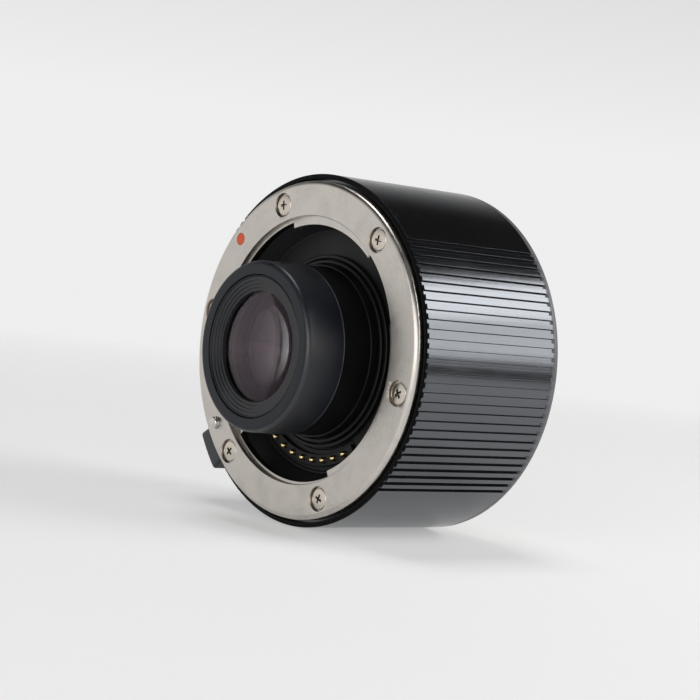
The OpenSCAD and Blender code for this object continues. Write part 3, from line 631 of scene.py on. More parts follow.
def coated(name, tint, ior):
    """Polished glass with an anti-reflection coating that is a little uneven."""
    look = Look(name, (1.0, 1.0, 1.0), 0.0, Transmission_Weight=1.0, IOR=ior)
    film = look.noise(look.place(), 60.0, 2.0)
    ramp = look.node("ShaderNodeValToRGB")
    for mark, share in zip(ramp.color_ramp.elements, (0.9, 1.1)):
        mark.color = (*(c * share for c in tint), 1)
    look.links.new(film, ramp.inputs["Fac"])
    look.links.new(ramp.outputs["Color"], look.shader.inputs["Specular Tint"])
    return look.material


def cemented(name):
    """A cemented surface, which light crosses unbent."""
    look = Look(name, (1, 1, 1), 0.0)
    clear = look.node("ShaderNodeBsdfTransparent")
    film = look.noise(look.place(), 400.0, 2.0)
    ramp = look.node("ShaderNodeValToRGB")
    for mark, shade in zip(ramp.color_ramp.elements, ((0.97, 0.95, 0.93, 1), (0.99, 0.98, 0.97, 1))):
        mark.color = shade
    look.links.new(film, ramp.inputs["Fac"])
    look.links.new(ramp.outputs["Color"], clear.inputs["Color"])
    look.links.new(clear.outputs[0], look.nodes["Material Output"].inputs["Surface"])
    look.nodes.remove(look.shader)
    return look.material


NICKEL = nickel("nickel", (0.6, 0.565, 0.52), 0.22, 0.4)
SCREW_NICKEL = nickel("screw_nickel", (0.66, 0.6, 0.52), 0.16, 0.3)
# Painted shade: a dark steel for the walls of the screws' cross recesses
RECESS_SHADE = steel("recess_painted_shade", (0.06, 0.045, 0.035), 0.4, 0.6)
MARK = paint("mark_paint", (0.8, 0.09, 0.02), 0.35, 0.5)
SPRING_STEEL = steel("spring_steel", (0.62, 0.61, 0.58), 0.2, 0.35)
# Dark steel for the leaf springs
DARK_LEAF_STEEL = steel("dark_leaf_steel", (0.1, 0.1, 0.105), 0.3, 0.45)
PIN_STEEL = steel("pin_steel", (0.68, 0.66, 0.62), 0.14, 0.3)
GOLD = steel("gold_plate", (0.93, 0.72, 0.36), 0.1, 0.22)
DIE_CAST = steel("die_cast", (0.33, 0.34, 0.35), 0.4, 0.6)
DARK_SCREW = steel("black_oxide", (0.06, 0.06, 0.065), 0.35, 0.5)
ANODISED = anodised("black_anodised")
# Satin grey: the barrel's rear rim, and a painted highlight on the nose's rear edge
SATIN_RIM_AND_HIGHLIGHT = moulded("satin_rim_and_painted_highlight", (0.12, 0.123, 0.132), 0.38, 0.5, depth=0.003)
# Deep black: the cell tube's finish, and painted shade on the barrel's groove walls
DEEP_BLACK = moulded("deep_black", (0.0035, 0.0036, 0.004), 0.6, 0.8, depth=0.006, Specular_IOR_Level=0.12)
BLACK_METAL = moulded("black_metal", (0.006, 0.006, 0.0065), 0.32, 0.48, depth=0.004)
BLACK_PLASTIC = moulded("black_plastic", (0.008, 0.008, 0.0085), 0.38, 0.55, depth=0.008)
# Painted shade: a darker, less glossy copy of the black plastic for the liner and contact block inside the
# throat
LINER_BLACK_SHADE = moulded("liner_black_painted_shade", (0.004, 0.0042, 0.0046), 0.42, 0.55, depth=0.006,
                      Specular_IOR_Level=0.3)
SOFT_GREY = moulded("soft_grey", (0.0062, 0.0088, 0.0145), 0.33, 0.42, grain=12000.0, depth=0.004,
                    Specular_IOR_Level=0.68)
# Painted shade: a less glossy copy of the soft grey, which darkens the nose's front face
SOFT_FACE_SHADE = moulded("soft_face_painted_shade", (0.0065, 0.0088, 0.0135), 0.38, 0.48, grain=12000.0, depth=0.004,
                    Specular_IOR_Level=0.34)
RING_BLACK = moulded("ring_black", (0.012, 0.013, 0.015), 0.4, 0.52, depth=0.003)
LIGHT_TRAP = moulded("light_trap", (0.003, 0.003, 0.003), 0.7, 0.85)
RUBBER = moulded("seal_rubber", (0.012, 0.012, 0.012), 0.55, 0.7)
BOARD = moulded("circuit_board", (0.02, 0.12, 0.045), 0.3, 0.5)
FILM = moulded("polyimide", (0.5, 0.22, 0.03), 0.25, 0.4)
GLASS_PURPLE = coated("glass_purple", (0.32, 0.18, 0.26), 1.6)
GLASS_INNER = coated("glass_inner", (0.34, 0.19, 0.29), 1.62)
CEMENT_LOOK = cemented("cement")


# Front mount
def flange():
    outline = rounded([
        (THROAT_R, FLANGE_T),
        (THROAT_R, TAB_BACK),
        (THROAT_STEP_R, TAB_BACK),
        (THROAT_STEP_R, TAB_FRONT),
        (THROAT_R, TAB_FRONT),
        (THROAT_R, THROAT_CHAMFER),
        (THROAT_R + THROAT_CHAMFER, 0),
        (FLANGE_R, 0, FLANGE_EDGE),
        (FLANGE_R, FLANGE_T),
    ])
    piece = turned("flange", outline)
    carve(piece, [bent("tab", TAB_R, THROAT_R + TAB_ROOT, TAB_FRONT, TAB_BACK, c, half)
                  for c, half in TABS], "UNION")
    seat = SCREW_SINK + SCREW_HEAD_T
    through = FLANGE_T + OVER
    screw_hole = [(0, -OVER), (COUNTERBORE_R, -OVER), (COUNTERBORE_R, seat), (SHANK_HOLE_R, seat),
                  (SHANK_HOLE_R, through), (0, through)]
    lock_hole = LOCK_PIN_R + SLIDE_GAP
    dot_hole = DOT_R + SET_GAP
    tools = [
        studs("holes", screw_hole, [upright(SCREW_CIRCLE, c, 0) for c in SCREW_CLOCKS]),
        studs("dot", [(0, -OVER), (dot_hole, -OVER), (dot_hole, DOT_T), (0, DOT_T)],
              [upright(DOT_CIRCLE, DOT_CLOCK, 0)]),
        studs("lock", [(0, -OVER), (lock_hole, -OVER), (lock_hole, through), (0, through)],
              [upright(LOCK_CIRCLE, LOCK_CLOCK, 0)]),
    ]
    for clock, half in LEAVES:
        tools.append(bent("leaf_slot", THROAT_R - OVER, LEAF_OUT_R + SET_GAP, LEAF_FRONT, through,
                          clock, half + LEAF_PLAY))
    soften(carve(piece, tools), EDGE_BREAK)
    # Painted shade: behind the ledge, the throat wall and the back of the flange take black metal instead
    # of nickel
    ledge, step, edge = TAB_FRONT + 0.08, THROAT_STEP_R - EDGE_BREAK, FLANGE_R - 1
    for face in piece.data.polygons:
        r, s = where(face)
        if s > ledge and step < r < edge:
            face.material_index = 1
    show(piece, [NICKEL, BLACK_METAL], "nickel", "front_mount_ring")


def cross_head(head_r, head_t, shank_r, length):
    """A pan-head screw with a tapered cross in it, with the top of its head at the origin."""
    crown, proud = head_r * CROWN_SHARE, 0.05
    shape = turned("screw", rounded([
        (0, 0),
        (crown, SCREW_DOME * CROWN_RISE),
        (head_r, SCREW_DOME, 0.12),
        (head_r, head_t, 0.08),
        (shank_r, head_t),
        (shank_r, length),
        (0, length),
    ]), steps=SCREW_STEPS, axis=Matrix())
    tools = []
    for turn in (0, 90):
        bm = bmesh.new()
        bmesh.ops.create_cube(bm, size=1)
        for corner in bm.verts:
            deep = corner.co.y > 0
            corner.co.x *= head_r * CROSS_REACH[deep]
            corner.co.z *= CROSS_W[deep]
            corner.co.y = head_t * CROSS_DEPTH if deep else -proud
        bm.transform(Matrix.Rotation(math.radians(turn), 4, "Y"))
        tools.append(as_piece("cross", bm))
    soften(carve(shape, tools), 0.03)
    # Painted shade: the walls of the cross take the second, dark look
    for face in shape.data.polygons:
        middle = face.center / MM
        if math.hypot(middle.x, middle.z) < crown and middle.y < head_t and face.normal.y > -0.8:
            face.material_index = 1
    return shape


def copies(name, shape, places):
    """Copies of a shape as one piece, and the shape itself removed."""
    bm = bmesh.new()
    for place in places:
        one = bmesh.new()
        one.from_mesh(shape.data)
        one.transform(place @ Matrix.Scale(1 / MM, 4))
        mesh = bpy.data.meshes.new("copy")
        one.to_mesh(mesh)
        one.free()
        bm.from_mesh(mesh)
        bpy.data.meshes.remove(mesh)
    bpy.data.objects.remove(shape)
    return as_piece(name, bm)


REARWARD = Matrix.Rotation(math.pi, 4, "X")


def front_screws():
    shape = cross_head(SCREW_HEAD_R, SCREW_HEAD_T, SCREW_SHANK_R, SCREW_END - SCREW_SINK)
    places = [upright(SCREW_CIRCLE, c, SCREW_SINK, t) for c, t in zip(SCREW_CLOCKS, SCREW_TURNS)]
    piece = copies("front_screws", shape, places)
    show(piece, [SCREW_NICKEL, RECESS_SHADE], "screw_nickel", "front_mount_screws")


def front_dot():
    outline = rounded([(0, 0.02), (DOT_R, 0.05, 0.03), (DOT_R, DOT_T), (0, DOT_T)])
    piece = studs("front_dot", outline, [upright(DOT_CIRCLE, DOT_CLOCK, 0)])
    show(piece, MARK, "mark", "front_index_dot")


def leaf_springs():
    bm = bmesh.new()
    leaf_back = LEAF_FRONT + LEAF_T
    leaf = rounded([(LEAF_IN_R, LEAF_FRONT, 0.1), (LEAF_OUT_R, LEAF_FRONT), (LEAF_OUT_R, leaf_back),
                    (LEAF_IN_R, leaf_back, 0.1)])
    for clock, half in LEAVES:
        add_turned(bm, leaf, clock, half)
    piece = as_piece("leaf_springs", bm)
    feet = [bent("foot", LINER_R + 0.1, LEAF_OUT_R - 0.1, LEAF_FRONT + LEAF_T / 2, FLANGE_T,
                 c + side * (half - LEAF_FOOT), LEAF_FOOT / 2) for c, half in LEAVES for side in (-1, 1)]
    carve(piece, feet, "UNION")
    show(piece, DARK_LEAF_STEEL, "spring_steel", "bayonet_leaf_springs")


def lock_pin():
    outline = rounded([
        (0, LOCK_TIP),
        (LOCK_PIN_R, LOCK_TIP, 0.3),
        (LOCK_PIN_R, LOCK_NECK),
        (LOCK_NECK_R, LOCK_NECK),
        (LOCK_NECK_R, LOCK_END),
        (0, LOCK_END),
    ])
    piece = studs("lock_pin_rod", outline, [upright(LOCK_CIRCLE, LOCK_CLOCK, 0)])
    show(piece, PIN_STEEL, "pin_steel", "lock_pin", body="lock_pin")


def release_button():
    low, high = BARREL_R + BUTTON_LIFT, BARREL_R + BUTTON_HEIGHT
    middle = (BUTTON_FRONT + BUTTON_BACK) / 2
    piece = bent("button", low, high, BUTTON_FRONT, BUTTON_BACK, SLOT_CLOCK, BUTTON_HALF)
    soften(piece, BUTTON_ROUND, 5)
    tools = [bent("pocket", low - OVER, low + POCKET_DEPTH, *BUTTON_POCKET, SLOT_CLOCK, POCKET_HALF)]
    for i in (-1, 0, 1):
        line = middle + i * LINE_PITCH
        tools.append(bent("line", high - LINE_DEPTH, high + OVER, line - LINE_W, line + LINE_W,
                          SLOT_CLOCK, LINE_HALF))
    carve(piece, tools)
    show(soften(piece, 0.05), SOFT_GREY, "soft_grey", "release_button", body="release_slider")


# Throat
def liner():
    ridges = []
    for start, height in RIDGES:
        ridges += [(start, FLOOR), (start, FLOOR - height, 0.2), (start + RIDGE_W, FLOOR - height, 0.2),
                   (start + RIDGE_W, FLOOR)]
    piece = turned("liner", rounded([
        (LINER_IN_R, FLOOR_BACK),
        (LINER_IN_R, FLOOR - LINER_LIP),
        (LINER_IN_R + LINER_LIP_T, FLOOR - LINER_LIP, 0.1),
        (LINER_IN_R + LINER_LIP_T, FLOOR),
        *ridges,
        (FUNNEL_R, FLOOR, 0.3),
        (THROAT_R + SET_GAP, FUNNEL_FRONT, 0.2),
        (THROAT_R + SET_GAP, FLANGE_T),
        (LINER_R, FLANGE_T),
        (LINER_R, LINER_BACK),
        (LINER_SKIRT_R, LINER_BACK),
        (LINER_SKIRT_R, FLOOR_BACK),
    ]))
    window = bent("window", CONTACT_CIRCLE - LEDGE_WINDOW, CONTACT_CIRCLE + LEDGE_WINDOW, FLOOR - OVER,
                  FLOOR_BACK + OVER, CONTACT_CLOCK, BLOCK_HALF + 0.5)
    # The liner takes the darker black plastic as painted shade
    show(carve(piece, [window]), LINER_BLACK_SHADE, "black_plastic", "throat_liner")


def contact_clock(i):
    """The clock angle of contact number i, counted from 1."""
    return CONTACT_CLOCK + CONTACT_HALF - (i - 1) * CONTACT_PITCH


def contacts():
    piece = turned("contact_ledge", rounded([
        (CONTACT_CIRCLE - LEDGE_W, BLOCK_FRONT, 0.15),
        (CONTACT_CIRCLE + LEDGE_W, BLOCK_FRONT, 0.15),
        (CONTACT_CIRCLE + LEDGE_W, FLOOR),
        (CONTACT_CIRCLE + LEDGE_STEP_W, FLOOR, 0.1),
        (CONTACT_CIRCLE + LEDGE_STEP_W, FLOOR_BACK + 0.2),
        (CONTACT_CIRCLE - LEDGE_STEP_W, FLOOR_BACK + 0.2),
        (CONTACT_CIRCLE - LEDGE_STEP_W, FLOOR, 0.1),
        (CONTACT_CIRCLE - LEDGE_W, FLOOR),
    ]), CONTACT_CLOCK, BLOCK_HALF)
    carve(piece, [bent("base", CONTACT_CIRCLE - BASE_W, CONTACT_CIRCLE + BASE_W, FLOOR_BACK, BLOCK_BACK,
                       CONTACT_CLOCK, BASE_HALF)], "UNION")
    places = [upright(CONTACT_CIRCLE, contact_clock(i + 1), 0) for i in range(CONTACT_COUNT)]
    hole, pocket, through = PIN_R + SLIDE_GAP, COLLAR_R + SLIDE_GAP, BLOCK_BACK + OVER
    holes = [(0, 0), (hole, 0), (hole, COLLAR_FRONT - SET_GAP), (pocket, COLLAR_FRONT - SET_GAP),
             (pocket, through), (0, through)]
    tip = FLOOR_BACK - 0.5
    screws = [(0, tip), (LEDGE_SCREW_HOLE_R, tip), (LEDGE_SCREW_HOLE_R, through), (0, through)]
    ends = [upright(CONTACT_CIRCLE, CONTACT_CLOCK + side * LEDGE_SCREW, 0) for side in (-1, 1)]
    carve(piece, [studs("holes", holes, places), studs("screw_holes", screws, ends)])
    # The contact block takes the darker black plastic as painted shade
    show(piece, LINER_BLACK_SHADE, "black_plastic", "contact_block")
    ball = [(PIN_R * math.sin(math.radians(a)), PIN_TIP + PIN_R * (1 - math.cos(math.radians(a))))
            for a in range(0, 91, 10)]
    pin = ball + [(PIN_R, COLLAR_FRONT), (COLLAR_R, COLLAR_FRONT), (COLLAR_R, COLLAR_BACK),
                  (TAIL_R, COLLAR_BACK), (TAIL_R, PIN_END), (0, PIN_END)]
    for i, place in enumerate(places):
        node = f"contact_pin_{i + 1:02d}"
        show(studs(f"gold_pin_{i + 1:02d}", pin, [place]), GOLD, "gold", node, body=node)


# Lens cell
def nose():
    inner = RING_R + SLIDE_GAP
    cell = CELL_R + SET_GAP
    band = NOSE_BACK - NOSE_SEAM
    piece = turned("nose", rounded([
        (inner, NOSE_FACE, 0.08),
        (NOSE_REAR_R - NOSE_TAPER, NOSE_FACE, NOSE_ROUND),
        (NOSE_REAR_R, band),
        (NOSE_REAR_R - 0.02, NOSE_BACK, 0.05),
        (cell, NOSE_BACK),
        (cell, NOSE_FACE + NOSE_SKIN),
        (inner, NOSE_FACE + NOSE_SKIN),
    ]))
    # Painted light: the rounded rear edge takes the paler satin grey as a painted highlight, and the front
    # face takes the less glossy copy of the soft grey as painted shade
    for face in piece.data.polygons:
        r, s = where(face)
        if s > band and r > NOSE_REAR_R - 0.1:
            face.material_index = 1
        elif s < NOSE_FACE + 0.1:
            face.material_index = 2
    show(piece, [SOFT_GREY, SATIN_RIM_AND_HIGHLIGHT, SOFT_FACE_SHADE], "soft_grey", "nose_sleeve")


def stepped_ring():
    outer, relief = RING_R - RING_LAND, RING_R - RING_RELIEF
    depth = NOSE_FACE + RING_DEPTH
    seat = GLASS_FRONT + sag(LENSES[0][1] * LENS_R, APERTURE_R) - 0.02
    inner = LENS_R - SET_GAP
    stairs = []
    for i in range(RING_STEPS):
        r = outer - (outer - APERTURE_R) * i / RING_STEPS
        low, high = (RING_FACE + (depth - RING_FACE) * k / RING_STEPS for k in (i, i + 1))
        stairs += [(r, low, 0.04), (r, high)]
    piece = turned("stepped_ring", rounded([
        (RING_R, RING_BACK),
        (RING_R, RING_FACE + 0.5),
        (relief, RING_FACE + 0.45),
        (relief, RING_FACE, 0.05),
        *stairs,
        (APERTURE_R, depth, 0.04),
        (APERTURE_R, seat),
        (inner, seat),
        (inner, RING_BACK),
    ]))
    show(piece, RING_BLACK, "black_metal", "front_retaining_ring")


def sag(radius, rho):
    """How far a spherical surface falls back from its pole at a radius."""
    return radius - math.copysign(math.sqrt(radius * radius - rho * rho), radius)


def cap(pole, radius, rim, steps=20):
    """Points of a spherical surface, from its pole to its rim."""
    return [(rim * i / steps, pole + sag(radius, rim * i / steps)) for i in range(steps + 1)]


def optics():
    used = sum(lens[0] for lens in LENSES) * GLASS_LENGTH + sum(SPACES.values()) + CEMENT * len(CEMENTED)
    spaces = {**SPACES, **{i: CEMENT for i in CEMENTED}, WIDE_SPACE: GLASS_LENGTH - used}
    front = GLASS_FRONT
    for i, (share, one, two) in enumerate(LENSES):
        back = front + share * GLASS_LENGTH
        rims = [LENS_R - HOLLOW_RIM if hollow else LENS_R for hollow in (one < 0, two > 0)]
        first = cap(front, one * LENS_R, rims[0])
        second = cap(back, two * LENS_R, rims[1])[::-1]
        outline = list(first)
        edge = []
        if one < 0:
            edge.append((LENS_R, first[-1][1]))
        if two > 0:
            edge.append((LENS_R, second[0][1]))
        outline += edge + second
        faces = [1 if i - 1 in CEMENTED else 0] * (len(first) - 1)
        faces += [2] * (len(edge) + 1)
        faces += [1 if i in CEMENTED else 0] * len(second)
        piece = turned(f"glass_{i + 1}", outline, steps=LENS_STEPS, faces=faces)
        glass, slot = (GLASS_PURPLE, "coated_glass") if i in OUTER_LENSES else (GLASS_INNER, "glass")
        show(piece, [glass, CEMENT_LOOK, LIGHT_TRAP], slot, f"lens_{i + 1}")
        front = back + spaces.get(i, 0)


def cell_tube():
    bore, mouth = LENS_R + SET_GAP, RING_R + SET_GAP
    flange_front, flange_back = LINER_BACK, LINER_BACK + CELL_FLANGE_T
    piece = turned("cell_tube", rounded([
        (mouth, NOSE_FACE + NOSE_SKIN),
        (CELL_R, NOSE_FACE + NOSE_SKIN),
        (CELL_R, NOSE_BACK),
        (NECK_R, NOSE_BACK, 0.06),
        (NECK_R, flange_front),
        (CELL_FLANGE_R, flange_front),
        (CELL_FLANGE_R, flange_back),
        (NECK_R, flange_back),
        (NECK_R, OPTICS_BACK),
        (bore, OPTICS_BACK),
        (bore, RING_BACK),
        (mouth, RING_BACK),
    ]))
    middle = (flange_front + flange_back) / 2
    slot = block("slot", FLEX_SLOT, upright(CONTACT_CIRCLE, CONTACT_CLOCK, middle, -CONTACT_CLOCK))
    start, end = flange_front - OVER, flange_back + OVER
    hole = [(0, start), (CELL_SCREW_HOLE_R, start), (CELL_SCREW_HOLE_R, end), (0, end)]
    holes = studs("holes", hole, [upright(CELL_SCREW_CIRCLE, c, 0) for c in CELL_SCREW_CLOCKS])
    show(carve(piece, [slot, holes]), DEEP_BLACK, "black_metal", "lens_barrel")


# Grip barrel
def barrel_clocks():
    """Clock angles round the barrel, each with how deep in a groove it lies, from 0 to 1."""
    edge = math.degrees(LAND_ROUND / BARREL_R)
    marks = []
    taken = []
    for count, middle in GROOVE_ROWS:
        for i in range(count):
            clock = middle + (i - (count - 1) / 2) * GROOVE_PITCH
            taken.append(clock)
            for side in (-1, 1):
                wall = clock + side * GROOVE_HALF
                marks.append((wall - side * WALL_LEANS[side], 1.0))
                marks.append((wall, LAND_ROUND / GROOVE_DEPTH))
                marks.append((wall + side * edge * 0.3, LAND_ROUND / GROOVE_DEPTH * 0.3))
                marks.append((wall + side * edge, 0.0))
            marks.append((clock, 1.0))
    step = 360 / TURN_STEPS
    for i in range(TURN_STEPS):
        clock = -180 + i * step
        if all(abs((clock - t + 180) % 360 - 180) > GROOVE_PITCH / 2 + 0.2 for t in taken):
            marks.append((clock, 0.0))
    for count, middle in GROOVE_ROWS:
        for i in range(count + 1):
            marks.append((middle + (i - count / 2) * GROOVE_PITCH, 0.0))
    return sorted(((c + 180) % 360 - 180, deep) for c, deep in marks)


def barrel():
    floor = BARREL_R - GROOVE_DEPTH
    tail = BARREL_R - REAR_TAPER
    bevel = RIM_R - RIM_BEVEL
    grooves_start, grooves_end = RIB_FRONT + LAND_ROUND, GROOVE_END - RUN_OUT
    grooves_step = (grooves_end - RIB_FRONT) / 10
    # Each row is a depth, the radius on the lands and the radius in the grooves
    front_rows = [
        (FLANGE_T, SOCKET_R, SOCKET_R),
        (BARREL_FRONT + 0.05, SOCKET_R, SOCKET_R),
        (BARREL_FRONT, SOCKET_R + 0.05, SOCKET_R + 0.05),
        (BARREL_FRONT, bevel - 0.02, bevel - 0.02),
        (BARREL_FRONT + FINE_BEVEL, bevel + FINE_BEVEL, bevel + FINE_BEVEL),
        (BARREL_FRONT + RIM_BEVEL - FINE_BEVEL, RIM_R - FINE_BEVEL, RIM_R - FINE_BEVEL),
        (BARREL_FRONT + RIM_BEVEL + 0.04, RIM_R, RIM_R),
        (RIB_FRONT - 0.02, RIM_R, RIM_R),
    ]
    rear_rows = [
        (grooves_end, BARREL_R, floor),
        (GROOVE_END, BARREL_R, BARREL_R - 0.01),
        (GROOVE_END + 0.05, BARREL_R, BARREL_R),
        (BARREL_BACK - REAR_ROUND, tail + 0.01, tail + 0.01),
        (BARREL_BACK - FINE_BEVEL, tail - FINE_BEVEL, tail - FINE_BEVEL),
        (BARREL_BACK, tail - REAR_ROUND, tail - REAR_ROUND),
    ]
    grooved_rows = [
        (RIB_FRONT, BARREL_R - LAND_ROUND, floor - 0.01),
        (RIB_FRONT + LAND_ROUND * 0.3, BARREL_R - LAND_ROUND * 0.3, floor),
        *[(grooves_start + grooves_step * i, BARREL_R, floor) for i in range(10)],
    ]
    rows = front_rows + grooved_rows + rear_rows + [
        (BARREL_BACK, BORE_R, BORE_R),
        (FLANGE_T + LIP_T, BORE_R, BORE_R),
        (FLANGE_T + LIP_T, LIP_R, LIP_R),
        (FLANGE_T, LIP_R, LIP_R),
    ]
    bm = bmesh.new()
    rings = []
    clocks = barrel_clocks()
    for clock, deep in clocks:
        points = [at(land + (groove - land) * deep, clock, s) for s, land, groove in rows]
        rings.append([bm.verts.new(point) for point in points])
    ribs_start = len(front_rows)
    rim_start = ribs_start + len(grooved_rows)
    inside_start = rim_start + len(rear_rows) - 1
    for k, (one, two) in enumerate(zip(rings, rings[1:] + rings[:1])):
        deep, next_deep = clocks[k][1], clocks[(k + 1) % len(clocks)][1]
        wall = abs(deep - next_deep) > 0.5
        for i in range(len(rows)):
            j = (i + 1) % len(rows)
            face = bm.faces.new((one[i], one[j], two[j], two[i]))
            # Painted shade: the groove walls take the deep black look; the socket round the flange, the
            # front face and the smooth rim before the ribs take it too, and the rear rim and groove ends
            # take the satin grey
            if rim_start <= i < inside_start:
                face.material_index = 2
            elif i < ribs_start or wall:
                face.material_index = 1
    piece = as_piece("barrel", bm)
    looks = [ANODISED, DEEP_BLACK, SATIN_RIM_AND_HIGHLIGHT]
    for look in looks:
        piece.data.materials.append(look)
    slot = bent("slot", LIP_R - 2 * OVER, BARREL_R + OVER, SLOT_FRONT, SLOT_BACK, SLOT_CLOCK, SLOT_HALF)
    carve(piece, [slot, rear_dot_shape("pocket", REAR_DOT_R + SET_GAP, BARREL_R + OVER)])
    show(piece, looks, "black_anodised", "grip_barrel")


def rear_dot_shape(name, radius, top):
    """A stud set into the top of the barrel near its rear end."""
    place = Matrix.Translation((0, FRONT + REAR_DOT_DEPTH, 0)) @ Matrix.Rotation(math.pi / 2, 4, "X")
    low = BARREL_R - REAR_DOT_SINK
    return studs(name, rounded([(0, low), (radius, low), (radius, top, 0.05), (0, top)]), [place])


def rear_dot():
    show(rear_dot_shape("rear_dot", REAR_DOT_R, BARREL_R - 0.03), MARK, "mark", "rear_index_dot")


# Rear mount
def rear_mount():
    piece = turned("rear_flange", rounded([
        (SPIGOT_IN_R, CHASSIS_BACK),
        (REAR_FLANGE_R, CHASSIS_BACK),
        (REAR_FLANGE_R, LENGTH, 0.25),
        (RELIEF_R, LENGTH),
        (RELIEF_R, LENGTH - RELIEF_DEPTH),
        (SPIGOT_R, LENGTH - RELIEF_DEPTH),
        (SPIGOT_R, SPIGOT_BACK, 0.3),
        (SPIGOT_IN_R, SPIGOT_BACK, 0.15),
    ]))
    carve(piece, [bent("tab", SPIGOT_R - TAB_ROOT, REAR_TAB_R, REAR_TAB_FRONT, REAR_TAB_BACK, c, half)
                  for c, half in REAR_TABS], "UNION")
    seat = LENGTH - REAR_SCREW_SINK - REAR_SCREW_HEAD_T
    bore = REAR_SCREW_HEAD_R + 0.3
    start, end = CHASSIS_BACK - OVER, LENGTH + OVER
    hole = [(0, start), (SHANK_HOLE_R, start), (SHANK_HOLE_R, seat), (bore, seat), (bore, end), (0, end)]
    lock_hole, lock_floor = LOCK_PIN_R + REAR_LOCK_GAP, LENGTH - REAR_LOCK_DEPTH
    lock = [(0, lock_floor), (lock_hole, lock_floor), (lock_hole, end), (0, end)]
    carve(piece, [studs("holes", hole, [upright(REAR_SCREW_CIRCLE, c, 0) for c in REAR_SCREW_CLOCKS]),
                  studs("lock", lock, [upright(LOCK_CIRCLE, LOCK_CLOCK, 0)])])
    show(soften(piece, EDGE_BREAK), NICKEL, "nickel", "rear_mount_ring")


def rear_screws():
    length = LENGTH - REAR_SCREW_SINK - CHASSIS_BACK + REAR_SCREW_GRIP
    shape = cross_head(REAR_SCREW_HEAD_R, REAR_SCREW_HEAD_T, SCREW_SHANK_R, length)
    places = [upright(REAR_SCREW_CIRCLE, c, LENGTH - REAR_SCREW_SINK, t) @ REARWARD
              for c, t in zip(REAR_SCREW_CLOCKS, REAR_SCREW_TURNS)]
    show(copies("rear_screws", shape, places), [SCREW_NICKEL, RECESS_SHADE], "screw_nickel", "rear_mount_screws")


def gasket():
    inner, outer, top = REAR_FLANGE_R + SET_GAP, BORE_R - 0.1, LENGTH - 0.2
    piece = turned("gasket", rounded([
        (inner, CHASSIS_BACK),
        (outer, CHASSIS_BACK),
        (outer, top - 0.5, 0.1),
        ((inner + outer) / 2, top, 0.12),
        (inner, top - 0.5, 0.1),
    ]))
    show(piece, RUBBER, "seal", "rear_gasket")


def rear_contacts():
    piece = turned("rear_ledge", rounded([
        (CONTACT_CIRCLE - REAR_LEDGE_W, CHASSIS_BACK),
        (CONTACT_CIRCLE + REAR_LEDGE_W, CHASSIS_BACK),
        (CONTACT_CIRCLE + REAR_LEDGE_W, REAR_BLOCK_BACK, 0.2),
        (CONTACT_CIRCLE - REAR_LEDGE_W, REAR_BLOCK_BACK, 0.2),
    ]), CONTACT_CLOCK, REAR_BLOCK_HALF)
    pads = [upright(CONTACT_CIRCLE, contact_clock(i + 1), 0) for i in range(CONTACT_COUNT)]
    ends = [upright(CONTACT_CIRCLE, CONTACT_CLOCK + side * REAR_BLOCK_SCREW, 0) for side in (-1, 1)]
    start, low, end = CHASSIS_BACK - OVER, REAR_BLOCK_BACK - PAD_T, REAR_BLOCK_BACK + OVER
    bed, head, shank = PAD_R + SET_GAP, REAR_BLOCK_SCREW_R + SET_GAP, LEDGE_SCREW_HOLE_R
    pad_hole = [(0, low), (bed, low), (bed, end), (0, end)]
    screw_hole = [(0, start), (shank, start), (shank, low), (head, low), (head, end), (0, end)]
    carve(piece, [studs("pad_holes", pad_hole, pads), studs("screw_holes", screw_hole, ends)])
    show(soften(piece, 0.08), BLACK_PLASTIC, "black_plastic", "rear_contact_block")
    top = REAR_BLOCK_BACK + PAD_RISE
    pad = rounded([(0, low), (PAD_R, low), (PAD_R, top, 0.12), (0, top)])
    show(studs("rear_pads", pad, pads), GOLD, "gold", "rear_contact_pads")
    length = REAR_BLOCK_BACK - CHASSIS_BACK + REAR_BLOCK_SCREW_GRIP
    shape = cross_head(REAR_BLOCK_SCREW_R, PAD_T, 0.5, length)
    places = [upright(CONTACT_CIRCLE, CONTACT_CLOCK + side * REAR_BLOCK_SCREW, REAR_BLOCK_BACK,
                      side * REAR_BLOCK_SCREW_TURN) @ REARWARD for side in (-1, 1)]
    screws = copies("rear_ledge_screws", shape, places)
    show(screws, [DARK_SCREW, RECESS_SHADE], "dark_screw", "rear_contact_screws")


